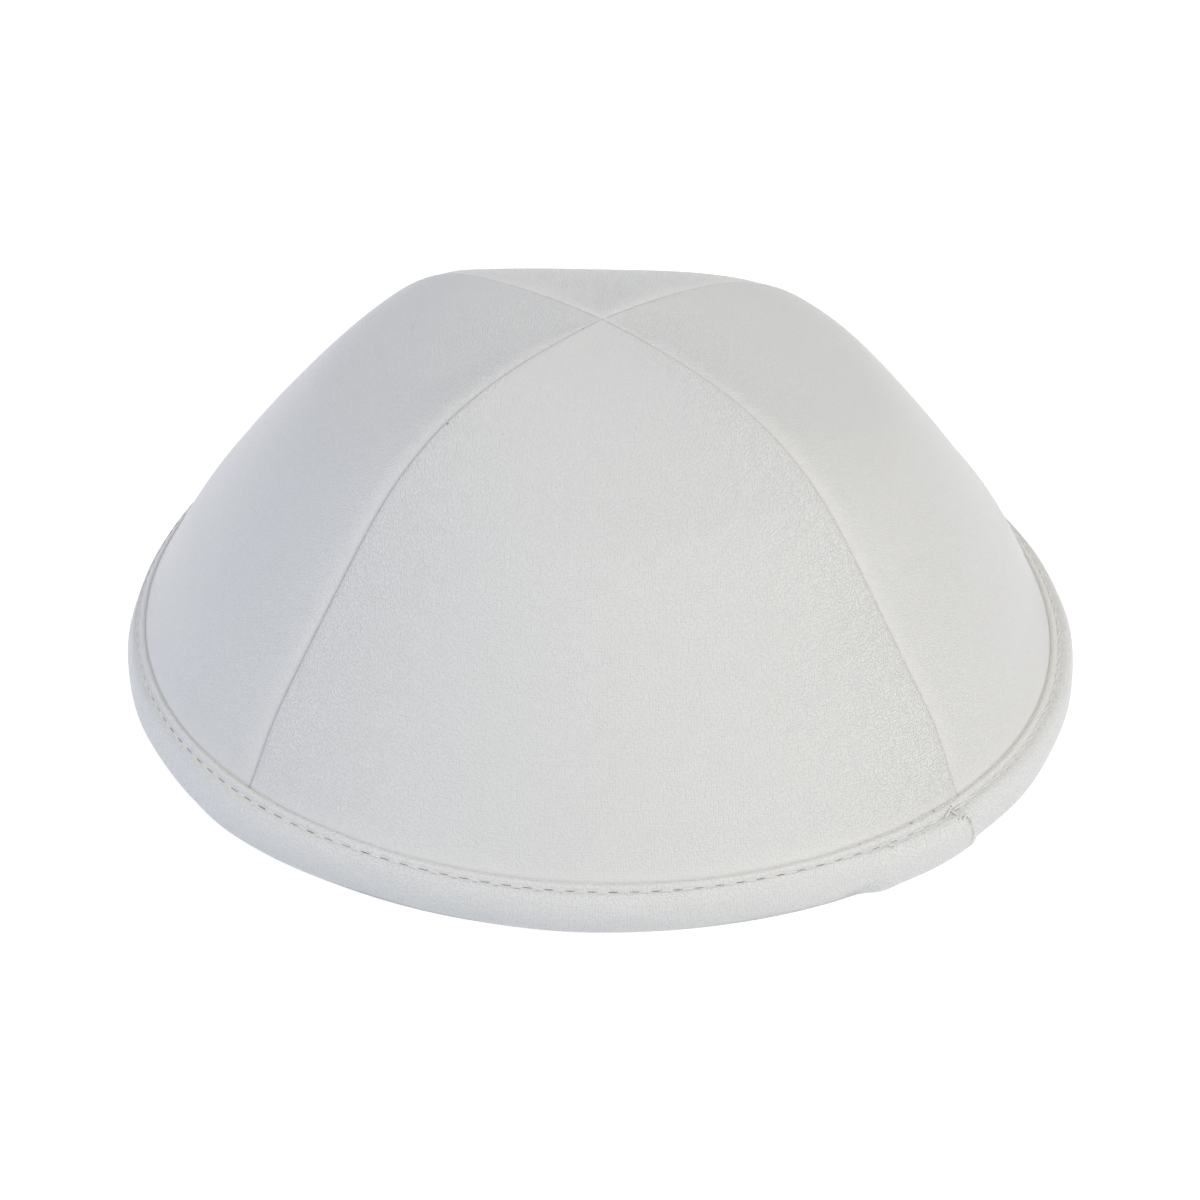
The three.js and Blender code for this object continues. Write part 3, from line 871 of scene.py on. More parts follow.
def slot_rows(tree, place):
    """Mask of both rows of needle slots, painted as shade, and how dark they are. They are read from the
    strip's own
    UV map, whose u counts stitches and whose v is the distance from the stitch line in mm. The
    attribute slot_shade says how dark the slots' painted shade is, and doubled how long those of the second
    row."""
    strip = new_node(tree, "ShaderNodeUVMap", (-1300, 1400), uv_map="strip")
    parts = new_node(tree, "ShaderNodeSeparateXYZ", (-1120, 1400))
    tree.links.new(strip.outputs["UV"], parts.inputs["Vector"])
    stitches, aside = parts.outputs["X"], parts.outputs["Y"]
    dark = attribute(tree, "slot_shade", (-1120, 1200))
    doubled = attribute(tree, "doubled", (-1120, 1000))

    number = maths(tree, "FLOOR", stitches, None, (-940, 1600))
    luck = new_node(tree, "ShaderNodeTexWhiteNoise", (-780, 1600), noise_dimensions="1D")
    tree.links.new(number, luck.inputs["W"])
    varied = maths(tree, "MULTIPLY_ADD", luck.outputs["Value"], SLOT_VARIES, (-620, 1600), SLOT_FAINTEST)
    strength = maths(tree, "MULTIPLY", varied, dark, (-460, 1600))
    beat = maths(tree, "FRACT", stitches, None, (-940, 1400))
    sides = new_node(tree, "ShaderNodeSeparateXYZ", (-1120, 1800))
    tree.links.new(place, sides.inputs["Vector"])
    reach = new_node(tree, "ShaderNodeMapRange", (-940, 1800), interpolation_type="SMOOTHSTEP")
    set_inputs(reach, From_Min=-50 * MM, From_Max=0.0, To_Min=SLOT_REACH["left"], To_Max=SLOT_REACH["right"])
    tree.links.new(sides.outputs["X"], reach.inputs["Value"])
    first = dash(tree, beat, aside, reach.outputs["Result"], SLOT_HALF_WIDTH, (-780, 1400))

    shifted = maths(tree, "ADD", stitches, SECOND_ROW["shift"], (-940, 1000))
    later = maths(tree, "FRACT", shifted, None, (-780, 1000))
    below = maths(tree, "SUBTRACT", aside, SECOND_ROW["below"], (-780, 860))
    half_length = maths(tree, "MULTIPLY_ADD", doubled, SECOND_ROW["grows"], (-620, 1000), SECOND_ROW["least"])
    second = dash(tree, later, below, half_length, SECOND_ROW["half_width"], (-460, 1000))
    faint = maths(tree, "MULTIPLY_ADD", doubled, SECOND_ROW["darkens"], (-460, 760), SECOND_ROW["faintest"])
    fainter = maths(tree, "MULTIPLY", second, faint, (400, 900))
    return maths(tree, "MULTIPLY", maths(tree, "MAXIMUM", first, fainter, (400, 1200)), strength, (560, 1200))


def binding_leather(settings):
    """The strip's leather: the base, darkened underneath by painted shade, with needle slots and holes
    painted dark with shade, and a thin line of dirt and painted shade where the attribute joint_line says
    that the strip's end lies."""
    stitch = 2 * math.pi * FOLD_RADIUS / STITCH_COUNT
    material, tree, shader, place, base = leather_base("binding_leather", settings, "strip", (stitch, MM))
    # Needle slots and holes painted dark with shade
    slots = slot_rows(tree, place)
    # Dirt and painted shade along the joint's line
    edged = maths(tree, "MULTIPLY", attribute(tree, "joint_line", (60, 640)), JOINT_DIRT_SHADE, (220, 640))
    # Painted shade towards the strip's foot
    foot = attribute(tree, "foot_shade", (60, 300))
    footed = mix_colour(tree, foot, base, tuple(settings.foot_shade_tint), (220, 300), "MULTIPLY")
    joined = mix_colour(tree, edged, footed, tuple(settings.grime_and_shade_colour), (380, 480))
    for index, mark in enumerate(STRIP_MARKS):
        centre = top_points(np.radians([mark["angle"]]), np.array([mark["out"]]), settings)[0]
        shade = speck_shade(tree, place, centre, mark, (400, 1500 + 180 * index))
        slots = maths(tree, "MAXIMUM", slots, shade, (720, 1200 + 180 * index))
    holed = mix_colour(tree, slots, joined, tuple(settings.hole_colour), (600, 480))
    tree.links.new(holed, shader.inputs["Base Color"])
    return material


def thread_material(settings):
    """White sewing thread: matt, with a fine twist drawn by a wave along the thread's own UV map, whose
    darker bands are painted shade.
    """
    material = bpy.data.materials.new("sewing_thread")
    material.use_nodes = True
    tree = material.node_tree
    shader = tree.nodes["Principled BSDF"]
    strand = new_node(tree, "ShaderNodeUVMap", (-700, 0), uv_map="strand")
    twist = new_node(tree, "ShaderNodeTexWave", (-480, 0), bands_direction="DIAGONAL")
    set_inputs(twist, Scale=1.6, Distortion=0.4)
    tree.links.new(strand.outputs["UV"], twist.inputs["Vector"])
    colour = tuple(settings.colour)
    # The twist's darker bands are painted shade between its plies
    shade = mix_colour(tree, twist.outputs["Fac"], tuple(part * 0.8 for part in colour), colour, (-240, 120))
    tree.links.new(shade, shader.inputs["Base Color"])
    bump = new_node(tree, "ShaderNodeBump", (-240, -200))
    set_inputs(bump, Strength=0.5, Distance=0.05 * MM)
    tree.links.new(twist.outputs["Fac"], bump.inputs["Height"])
    tree.links.new(bump.outputs["Normal"], shader.inputs["Normal"])
    set_inputs(shader, Roughness=0.7)
    return material


def glowing_floor(name, colour):
    """A plain matt material that is half lit from within, as a light table is, so that shadows on it
    stay faint."""
    material = bpy.data.materials.new(name)
    material.use_nodes = True
    shader = material.node_tree.nodes["Principled BSDF"]
    half = tuple(part * 0.5 for part in colour)
    set_inputs(shader, Base_Color=(*half, 1.0), Roughness=0.9, Emission_Color=(*colour, 1.0),
               Emission_Strength=0.75)
    return material


# Settings


def length_setting(name, description, default_mm):
    """A length property whose default is given in mm."""
    return FloatProperty(name=name, description=description, default=default_mm * MM, min=0.0,
                         precision=5, unit="LENGTH")


def angle_setting(name, description, default_degrees):
    """An angle property whose default is given in degrees."""
    return FloatProperty(name=name, description=description, default=math.radians(default_degrees),
                         subtype="ANGLE")


def colour_setting(name, description, default):
    """A colour property with three linear parts."""
    return FloatVectorProperty(name=name, description=description, default=default, min=0.0, max=1.0,
                               size=3, subtype="COLOR")


def share_setting(name, description, default):
    """A plain number from 0 to 1."""
    return FloatProperty(name=name, description=description, default=default, min=0.0, max=1.0,
                         subtype="FACTOR")


def count_setting(name, description, default, least):
    """A whole number that isn't below least."""
    return IntProperty(name=name, description=description, default=default, min=least)


class KippahCrownSettings(bpy.types.PropertyGroup):
    """Sizes and colours of the four gores."""

    wall: length_setting("Wall", "Thickness of the leather", 1.4)
    seam_gap: length_setting("Seam gap", "Space between the two edges of a seam", 0.03)
    roll_width: length_setting("Roll width", "How far from a seam the leather starts to roll down", 3.6)
    roll_depth: length_setting("Roll depth", "How deep the leather rolls into a seam", 0.75)
    rows: count_setting("Rows", "Rows of points from apex to fold", 200, 20)
    columns: count_setting("Columns", "Columns of points across a gore", 84, 10)
    colour: colour_setting("Leather colour", "Colour of the grain side", (0.607, 0.6, 0.583))
    flesh_colour: colour_setting("Inner colour", "Colour of the suede inner side", (0.62, 0.59, 0.53))
    # The highlight colour is a painted highlight beside the seams and above the fold
    highlight_colour: colour_setting("Rubbed colour", "Colour where the seams are rubbed", (0.76, 0.745, 0.715))
    # The grime colour is dirt and painted shade down in the seams
    grime_and_shade_colour: colour_setting("Grime colour", "Colour of the dirt down in the seams", (0.15, 0.135, 0.11))
    # The hole colour is painted shade in the needle holes, and the flecks' own colour
    hole_colour: colour_setting("Hole colour", "Colour of the needle holes and flecks", (0.1, 0.09, 0.08))
    # The crease tone is painted shade and dirt between the pebbles
    crease_tone: share_setting("Crease tone", "How much darker the leather is between its pebbles", 0.1)
    # Fold dirt is dirt and painted shade in the crevice at the fold
    fold_dirt_and_shade: share_setting("Fold dirt", "How dirty the crevice at the fold is", 0.42)
    grain_height: length_setting("Grain height", "Height of the pebbles", 0.08)
    roughness: share_setting("Roughness", "Roughness of the grain side", 0.32)


class KippahBindingSettings(bpy.types.PropertyGroup):
    """Sizes and colours of the folded strip round the rim."""

    turns: count_setting("Turns", "Sections round the rim", 770, 90)
    lap_start: angle_setting("Lap start", "Angle where the lapped end shows", -43.35)
    lap_slant: angle_setting("Lap slant", "How far the lapped end slants back upwards", 0.85)
    lap_end: angle_setting("Lap end", "Angle where the hidden end stops", -66.0)
    lap_thickness: length_setting("Lap thickness", "Extra thickness where the ends overlap", 0.7)
    groove_depth: length_setting("Groove depth", "How deep the stitches pull the leather in", 0.2)
    joint_inset: length_setting("Joint inset", "How far the joint's line lies from the lapped end", 1.5)
    joint_width: length_setting("Joint line width", "Width of the joint's line", 0.16)
    colour: colour_setting("Leather colour", "Colour of the strip", (0.607, 0.6, 0.583))
    flesh_colour: colour_setting("Inner colour", "Colour of the strip inside the cap", (0.66, 0.64, 0.6))
    # The highlight colour is a painted highlight on the bead at the strip's upper edge
    highlight_colour: colour_setting("Rubbed colour", "Colour of the rubbed upper edge", (0.76, 0.745, 0.715))
    # The grime colour is dirt and painted shade along the joint's line
    grime_and_shade_colour: colour_setting("Grime colour", "Colour of the dirt at the joint", (0.3, 0.27, 0.2))
    # The foot tint is painted shade where the strip turns under
    foot_shade_tint: colour_setting("Foot tint", "Tint of the strip where it turns under", (0.75, 0.78, 0.82))
    # The hole colour is painted shade in the needle slots and holes
    hole_colour: colour_setting("Hole colour", "Colour seen in the needle slots", (0.1, 0.085, 0.07))
    # The crease tone is painted shade and dirt between the pebbles
    crease_tone: share_setting("Crease tone", "How much darker the leather is between its pebbles", 0.1)
    # Fold dirt is dirt and painted shade in the crevice at the fold
    fold_dirt_and_shade: share_setting("Fold dirt", "How dirty the crevice at the fold is", 0.42)
    grain_height: length_setting("Grain height", "Height of the pebbles", 0.06)
    roughness: share_setting("Roughness", "Roughness of the strip", 0.34)


class KippahThreadSettings(bpy.types.PropertyGroup):
    """Sizes and colour of the sewing thread."""

    thickness: length_setting("Thickness", "Thickness of the thread", 0.38)
    slant: length_setting("Slant", "How far each stitch leans across its line", 0.16)
    colour: colour_setting("Thread colour", "Colour of the thread", (0.84, 0.83, 0.8))


class KippahStageSettings(bpy.types.PropertyGroup):
    """Floor, even light and camera."""

    floor_reach: length_setting("Floor reach", "From the cap to the floor's sides", 3000.0)
    floor_colour: colour_setting("Floor colour", "Colour of the floor", (0.97, 0.97, 0.97))
    sky_colour: colour_setting("Sky colour", "Colour of the even light all round", (0.858, 0.926, 1.0))
    sky_strength: share_setting("Sky strength", "Strength of the even light all round", 0.446)
    focal_length: FloatProperty(name="Focal length", description="Camera lens", default=84.95, unit="CAMERA")
    distance: length_setting("Distance", "From the camera to its aim", 510.0)
    elevation: angle_setting("Elevation", "Camera angle above the floor", 33.4)
    roll: angle_setting("Roll", "Camera turn about its own axis", 1.6)
    aim_height: length_setting("Aim height", "Height of the point that the camera looks at", 8.3)


# Gores


def gore_distances(half_width, settings):
    """Distances of a row's columns from the first seam: close together beside both seams, where the
    leather rolls, and even between. half_width holds one number for each row."""
    edge = np.minimum(settings.roll_width * EDGE_ROLLS, half_width * EDGE_SHARE)
    near = np.linspace(0, 1, EDGE_COLUMNS + 1)[:-1] ** EDGE_CROWDING
    middle = np.linspace(0, 1, settings.columns)
    start = near * edge[:, None]
    between = edge[:, None] + middle * (2 * half_width - 2 * edge)[:, None]
    end = 2 * half_width[:, None] - start[:, ::-1]
    return np.concatenate([start, between, end], 1)


def seam_roll(distance, width, depth):
    """How deep the leather rolls into a seam: mostly a parabola, width wide and depth deep, with a
    quarter of an ellipse for the turned edge itself."""
    away = 1 - np.clip(distance / width, 0, 1)
    edge = 1 - np.clip(distance / (TURNED_WIDTH * width), 0, 1)
    return depth * ((1 - TURNED_DEPTH) * away**2 + TURNED_DEPTH * (1 - np.sqrt(1 - edge**2)))


def crown_rows(settings):
    """share, down and out of each row of points: down the crown to the fold, then round the tuck."""
    tip = TIP_RADIUS / FOLD_RADIUS
    crown = np.linspace(tip, 1, settings.rows)
    place = np.linspace(0, len(TUCK) - 1, TUCK_ROWS + 1)[1:]
    knots = np.arange(len(TUCK), dtype=float)
    down = smooth_through(knots, column(TUCK, "down"), place)
    out = smooth_through(knots, column(TUCK, "out"), place) * MM
    share_of_row = np.concatenate([crown, np.ones(len(place))])
    return share_of_row, np.concatenate([crown * 0, down]), np.concatenate([crown * 0, out])


def sideways_weight(angle):
    """How strong the dirt and painted shade in the crevice under the crown, and the painted highlight on the
    binding's bead, are: most at the cap's left and right, and least at the front and back, by the square of a
    cosine."""
    return CREVICE_LEAST + (1 - CREVICE_LEAST) * np.cos(angle) ** 2


def gore_relief(number, side, share, points):
    """How far the skin stands out from its smooth form: a bell-shaped bulge just above the fold, less
    the bell-shaped dents of the table."""
    angle = np.arctan2(points[..., 1], points[..., 0])
    bulge = stray("bulge", angle) * np.exp(-((share - BULGE_SHARE) / BULGE_REACH) ** 2)
    bulge = bulge * np.clip((1 - share) / FOLD_EASE, 0, 1)
    for dent in DENTS:
        if dent["gore"] == number:
            across = (side - dent["side"]) / dent["wide"]
            along = (share - dent["share"]) / dent["tall"]
            bulge = bulge - dent["depth"] * MM * np.exp(-across**2 - along**2)
    return bulge


def seam_normals(normals, number):
    """Normals with those of the first and last column turned into their seams' upright planes, so that
    the two sides of a seam roll down face to face."""
    for edge, degrees in zip((0, -1), gore_span(number)):
        angle = math.radians(degrees)
        along = fold_radius(1.0) * np.array([math.cos(angle), math.sin(angle)]) - APEX
        along /= np.linalg.norm(along)
        across = np.array([-along[1], along[0], 0.0])
        flat = normals[:, edge] - (normals[:, edge] @ across)[:, None] * across
        normals[:, edge] = flat / np.linalg.norm(flat, axis=-1, keepdims=True)
    return normals


def seam_effects(number, from_start, half_width, share, settings):
    """What a gore's two seams do to its skin: how deep it is rolled down, how much dirt and painted shade
    it has, and how strong the painted highlight is on the ridge beside a seam. Both fall off exponentially."""
    width = np.minimum(settings.roll_width, ROLL_SHARE * half_width)[:, None]
    knots = np.array([0.0, 0.5, 1.0])
    first, second = SEAMS[number], SEAMS[(number + 1) % len(SEAMS)]
    from_end = 2 * half_width[:, None] - from_start
    rolled, dirt_and_shade, seam_highlight = np.zeros((3, *share.shape))
    for distance, seam, rolls in ((from_start, first, first["after"]), (from_end, second, second["before"])):
        roll_width = width * (WEAK_ROLL + (1 - WEAK_ROLL) * rolls)
        rolled += seam_roll(distance, roll_width, settings.roll_depth * rolls)
        along = smooth_through(knots, np.array([seam["top"], seam["middle"], seam["bottom"]]), share)
        along = along * np.clip(share / APEX_SHARE, APEX_DIRT_SHADE, 1) * (FLAT_DIRT_SHADE - ROLLED_DIRT_SHADE * rolls)
        # Dirt and painted shade along the seam
        dirt_and_shade = np.maximum(dirt_and_shade, along * np.exp(-distance / SEAM_DIRT_SHADE_WIDTH))
        # Painted highlight on the ridge beside the seam
        counted = np.maximum(width, RIDGE_LEAST * settings.roll_width)
        fade = RIDGE_FADE * rolls**RIDGE_POWER * counted
        seam_highlight = np.maximum(seam_highlight, RIDGE_HIGHLIGHT * rolls * np.exp(-distance / fade))
    return rolled * width / settings.roll_width, dirt_and_shade, seam_highlight


def grain_depth(gore, side, share, painted_highlight):
    """How deep a gore's pebbles are, by its row of the table. They are shallower under the painted highlight.
    """
    upper = np.interp(share, GRAIN_TOP_SHARES, (gore["top_grain"], gore["grain"]))
    by_seams = GRAIN_LOW_MIDDLE + (1 - GRAIN_LOW_MIDDLE) * side**2
    low = np.clip(share / GRAIN_LOW_SHARE, 0, 1) ** 2 * by_seams
    to_seam = np.sign(gore["beside"]) * side
    extra = abs(gore["beside"]) * np.clip((to_seam - BESIDE_START) / BESIDE_WIDTH, 0, 1) ** 2
    depth = upper * (1 - low) + gore["low_grain"] * low + extra
    return depth * (1 - HIGHLIGHT_GRAIN_LOSS * np.clip(painted_highlight, 0, 1))


def hide_uv(piece, number, points, aside, quads):
    """UV map of a gore in metres: u is how far a point lies aside of the middle, and v how far down from
    the apex. Each gore starts a metre further on, so no two have the same grain."""
    steps = np.linalg.norm(np.diff(points[:, points.shape[1] // 2], axis=0), axis=-1)
    fallen = np.concatenate([[0.0], np.cumsum(steps)]) + number
    hide = np.stack([aside, np.repeat(fallen[:, None], aside.shape[1], 1)], -1).reshape(-1, 2)
    uv_map(piece, "hide", np.concatenate([hide, hide])[quads.ravel()])


def build_gore(number, settings):
    """A gore as a closed wall. Its outer skin is the smooth skin moved along its normal: out by the
    relief, and down by the roll into each seam. Its inner skin is the same lowered by the wall as
    well."""
    share_of_row, down, out = crown_rows(settings)
    start, end = gore_span(number)
    half_angle = math.radians(end - start) / 2
    reach = share_of_row * FOLD_RADIUS + out
    half_width = reach * half_angle - settings.seam_gap / 2
    from_start = gore_distances(half_width, settings)
    aside = from_start - half_width[:, None]
    side = aside / (reach * half_angle)[:, None]
    share = np.repeat(share_of_row[:, None], side.shape[1], 1)
    spread = np.ones_like(side)
    points = skin_points(number, side, share, down[:, None] * spread, out[:, None] * spread)
    normals = seam_normals(grid_normals(points), number)

    on_crown = (down == 0)[:, None]
    pressed = np.clip((1 - share) / FOLD_EASE, ROLL_AT_FOLD, 1) * on_crown
    rolled, dirt_and_shade, seam_highlight = seam_effects(number, from_start, half_width, share, settings)
    relief = gore_relief(number, side, share, points) * on_crown - rolled * pressed
    outer = points + normals * relief[..., None]
    inner = outer - normals * settings.wall
    quads = shell_quads(*side.shape)
    vertices = np.concatenate([outer.reshape(-1, 3), inner.reshape(-1, 3)])
    piece = mesh_object(GORES[number]["piece"], vertices, quads)
    hide_uv(piece, number, points, aside, quads)

    above_fold = (1 - share) * FOLD_RADIUS
    # Painted highlight beside the seams and just above the fold
    painted_highlight = np.maximum(seam_highlight * pressed, FOLD_HIGHLIGHT * np.exp(-above_fold / FOLD_FADE))
    side_weight = sideways_weight(np.arctan2(points[..., 1], points[..., 0]))
    for name, values, inner_value in (
            ("inside", side * 0, 1.0),
            # Dirt and painted shade in the seams
            ("seam_dirt_and_shade", dirt_and_shade * on_crown, 0.0),
            ("painted_highlight", painted_highlight, 0.0),
            # Dirt and painted shade in the crevice
            ("fold_dirt_and_shade", np.exp(-above_fold / FOLD_DIRT_SHADE_WIDTH) * side_weight, 0.0),
            ("grain_depth", grain_depth(GORES[number], side, share, painted_highlight), INNER_GRAIN)):
        point_attribute(piece, name, np.concatenate([values.ravel(), np.full(values.size, inner_value)]))
    return piece


class KIPPAH_OT_crown(bpy.types.Operator):
    """Adds the four leather gores of the crown"""

    bl_idname = "object.kippah_crown"
    bl_label = "Kippah crown"

    def execute(self, context):
        settings = context.scene.kippah_crown
        leather = crown_leather(settings)
        for number, gore in enumerate(GORES):
            piece = build_gore(number, settings)
            piece.data.materials.append(leather)
            finish_piece(piece, "crown_leather", gore["node"])
        return {"FINISHED"}


# Binding


def side_at(angle):
    """Place across the gore that holds an angle in radians: -1 at its first seam, 1 at its second."""
    first = SEAMS[0]["angle"]
    turned = (np.degrees(angle) - first) % 360 + first
    starts = column(SEAMS, "angle")
    ends = np.append(starts[1:], first + 360)
    which = np.clip(np.searchsorted(starts, turned, side="right") - 1, 0, len(SEAMS) - 1)
    return 2 * (turned - starts[which]) / (ends[which] - starts[which]) - 1


def fold_height(side):
    """Height of the fold line above the floor."""
    return skin_height(side, np.ones_like(side))


def binding_profile():
    """The binding's section as smooth closed arrays out, down and lap, in mm and shares. The curve is a
    closed cubic through the rows of the table."""
    rows = len(BINDING)
    knots = np.arange(-2, rows + 3, dtype=float)
    wrapped = knots.astype(int) % rows
    at = np.arange(rows * PROFILE_STEPS) / PROFILE_STEPS
    return [smooth_through(knots, column(BINDING, name)[wrapped], at) for name in ("out", "down", "lap")]


def lap_edge(down, settings):
    """Angle of the lapped end, which slants back towards the strip's upper edge."""
    return settings.lap_start - settings.lap_slant * np.clip(1 - down / LAP_STRAIGHT, 0, 1)


def lap_thickness(angle, down, settings):
    """Extra thickness at the joint: a step up at the lapped end, then a slow fall to the hidden end."""
    edge = lap_edge(down, settings)
    run = (edge - angle) / (settings.lap_start - settings.lap_end)
    step = np.clip((edge - angle) / LAP_STEP, 0, 1)
    fall = np.clip(1 - run, 0, 1)
    smooth = step * step * (3 - 2 * step) * fall * fall * (3 - 2 * fall)
    return settings.lap_thickness * smooth


def binding_angles(settings):
    """Angles of the sections: even round the rim, and close together at the lapped end."""
    even = np.linspace(-math.pi, math.pi, settings.turns, endpoint=False)
    close = settings.lap_start + np.linspace(-1, 1, LAP_SECTIONS) * LAP_CLOSE
    return np.unique(np.round(np.concatenate([even, close]), 6))


def binding_points(angle, out, down, lap, settings):
    """Points of the binding at angles and section places: plan radius from the fold line outwards, and
    height as a share of the fold's. The outer part reaches further or less far as the rim strays, and
    swells along slow waves. Every array has the same shape."""
    side = side_at(angle)
    outer = lap ** 2
    swell = sum(wave["height"] * np.sin(angle * wave["waves"] + wave["start"]) for wave in SWELLS)
    reach = outer * (stray("reach", angle) + swell * MM)
    radius = fold_radius(side) + stray("fold", angle) + out * MM + reach
    radius = radius + lap * lap_thickness(angle, down, settings)
    radius = radius + stray("foot", angle) * np.clip((down - FOOT_START) / FOOT_EASE, 0, 1) * outer
    height = np.maximum(fold_height(side) * (1 - down), 0)
    return np.stack([radius * np.cos(angle), radius * np.sin(angle), height], -1)


def build_binding(settings):
    """The folded strip: its section carried once round the rim, pulled in along the stitch line by a
    groove that is deepest at each needle slot."""
    out, down, lap = binding_profile()
    angle = binding_angles(settings)
    turns, places = len(angle), len(out)
    grid_angle = np.repeat(angle[:, None], places, 1)
    spread = np.ones((turns, 1))
    points = binding_points(grid_angle, out * spread, down * spread, lap * spread, settings)
    step = np.hypot(np.diff(out, append=out[0]), np.diff(down, append=down[0]) * FOLD_DROP)
    run = np.cumsum(step) - step
    from_line = run - run[STITCH_ROW * PROFILE_STEPS]
    beat = (angle / (2 * math.pi)) * STITCH_COUNT
    pull = 1 - GROOVE_LOSS + GROOVE_LOSS * np.cos(2 * math.pi * (beat - 0.5))
    groove = settings.groove_depth * np.exp(-(from_line / GROOVE_WIDTH) ** 2) * pull[:, None]
    wrapped = np.concatenate([points[-1:], points, points[:1]])
    normals = grid_normals(np.concatenate([wrapped[:, -1:], wrapped, wrapped[:, :1]], 1))[1:-1, 1:-1]
    points = points + normals * groove[..., None]
    closed = np.concatenate([grid_quads(turns, places, wrap=True), closing_quads(turns, places)])
    piece = mesh_object("folded_binding", points.reshape(-1, 3), closed)
    strip_uv(piece, angle, from_line, places)
    for name, values in binding_attributes(angle, out, down, settings).items():
        point_attribute(piece, name, np.broadcast_to(values, (turns, places)))
    return piece


def binding_attributes(angle, out, down, settings):
    """What the strip's material reads at each point, by name: a number for each angle, each place round
    the section, or both."""
    degrees = np.degrees(angle)[:, None]
    side_weight = sideways_weight(angle)[:, None]
    bead = np.exp(-((out - BEAD_OUT) / BEAD_WIDTH) ** 2) * (down < UPPER_SIDE)
    underneath = np.clip((down - FOOT_DARK_START) / FOOT_DARK_EASE, 0, 1) * (out > 0)
    aside = (angle[:, None] - lap_edge(down, settings)) * FOLD_RADIUS + settings.joint_inset
    on_top = np.clip((out - JOINT_OUT) / JOINT_EASE, 0, 1) * (down > UPPER_SIDE)
    lapped = np.clip(on_top + (down > JOINT_FULL), 0, 1) * (out > 0)
    return {
        "inside": SUEDE * np.clip((-out - SUEDE_START) / SUEDE_EASE, 0, 1) * (down < FLOOR_SHARE),
        # Dirt and painted shade in the crevice
        "fold_dirt_and_shade": np.exp(-np.hypot(out, down * FOLD_DROP) / CREVICE_WIDTH) * side_weight,
        # Painted highlight on the bead
        "painted_highlight": bead * (BEAD_HIGHLIGHT + side_weight),
        # Painted shade towards the foot
        "foot_shade": underneath * np.interp(degrees, column(FOOT_SHADE, "angle"), column(FOOT_SHADE, "tone")),
        "grain_depth": np.array(STRIP_GRAIN),
        # Painted shade in the needle slots
        "slot_shade": np.interp(degrees, column(SEWING, "angle"), column(SEWING, "dark")),
        "doubled": np.interp(degrees, column(SEWING, "angle"), column(SEWING, "doubled")),
        # Dirt and painted shade along the joint's line
        "joint_line": np.exp(-(aside / settings.joint_width) ** 2) * lapped,
    }


def closing_quads(turns, places):
    """Quads between the last section of the ring and the first."""
    here = (turns - 1) * places + np.arange(places)
    beside = (turns - 1) * places + (np.arange(places) + 1) % places
    return np.stack([here, np.arange(places), (np.arange(places) + 1) % places, beside], -1)


def strip_uv(piece, angle, from_line, places):
    """UV map of the strip: u counts stitches round the rim, v is the distance in mm from their line.
    Each quad has its own corners, so neither number jumps where the ring or the section closes."""
    turns = len(angle)
    beat = np.append(angle, angle[0] + 2 * math.pi) / (2 * math.pi) * STITCH_COUNT
    across = np.append(from_line, from_line[-1] * 2 - from_line[-2])
    row, place = np.meshgrid(np.arange(turns), np.arange(places), indexing="ij")
    u = np.stack([beat[row], beat[row + 1], beat[row + 1], beat[row]], -1)
    v = np.stack([across[place], across[place], across[place + 1], across[place + 1]], -1)
    uv_map(piece, "strip", np.stack([u, v], -1))


class KIPPAH_OT_binding(bpy.types.Operator):
    """Adds the folded leather strip round the rim"""

    bl_idname = "object.kippah_binding"
    bl_label = "Kippah binding"

    def execute(self, context):
        settings = context.scene.kippah_binding
        piece = build_binding(settings)
        piece.data.materials.append(binding_leather(settings))
        finish_piece(piece, "binding_leather", "rim_binding")
        return {"FINISHED"}


# Thread


def strand_points(start, end, lift, radius, outward):
    """Tubes along many short arcs at once: each runs from start to end, rises by lift along outward in
    half a sine, and ends a little under the leather. Returns an array of strands, rings, sides, 3."""
    t = np.linspace(0, 1, STRAND_RINGS)[None, :, None]
    turn = np.linspace(0, 2 * math.pi, STRAND_SIDES, endpoint=False)[None, None, :, None]
    arc = start[:, None] + (end - start)[:, None] * t
    rise = lift[:, None, None] * np.sin(math.pi * t) ** STRAND_FLATNESS - radius * STRAND_SUNK
    arc = arc + outward[:, None] * rise
    along = (end - start) / np.linalg.norm(end - start, axis=-1, keepdims=True)
    across = np.cross(along, outward)
    ring = np.cos(turn) * across[:, None, None] + np.sin(turn) * outward[:, None, None]
    taper = np.sin(math.pi * np.clip(t, STRAND_TIP, 1 - STRAND_TIP)) ** STRAND_BLUNTNESS
    return arc[:, :, None] + ring * (radius * taper)[..., None]


def top_points(angle, out, binding):
    """Points on the binding's outer side at angles, out mm from the fold line."""
    profile_out, profile_down, profile_lap = binding_profile()
    outer = slice(0, OUTERMOST_ROW * PROFILE_STEPS + 1)
    down = np.interp(out, profile_out[outer], profile_down[outer])
    lap = np.interp(out, profile_out[outer], profile_lap[outer])
    return binding_points(angle, out, down, lap, binding)


def outward_of(angle, start, end):
    """Unit directions out of the binding's upper side, square to each strand."""
    flat = TOP_OUTWARD * np.stack([np.cos(angle), np.sin(angle)], -1)
    outward = np.concatenate([flat, np.full((len(angle), 1), TOP_UPWARD)], -1)
    along = (end - start) / np.linalg.norm(end - start, axis=-1, keepdims=True)
    outward = outward - (outward * along).sum(-1, keepdims=True) * along
    return outward / np.linalg.norm(outward, axis=-1, keepdims=True)


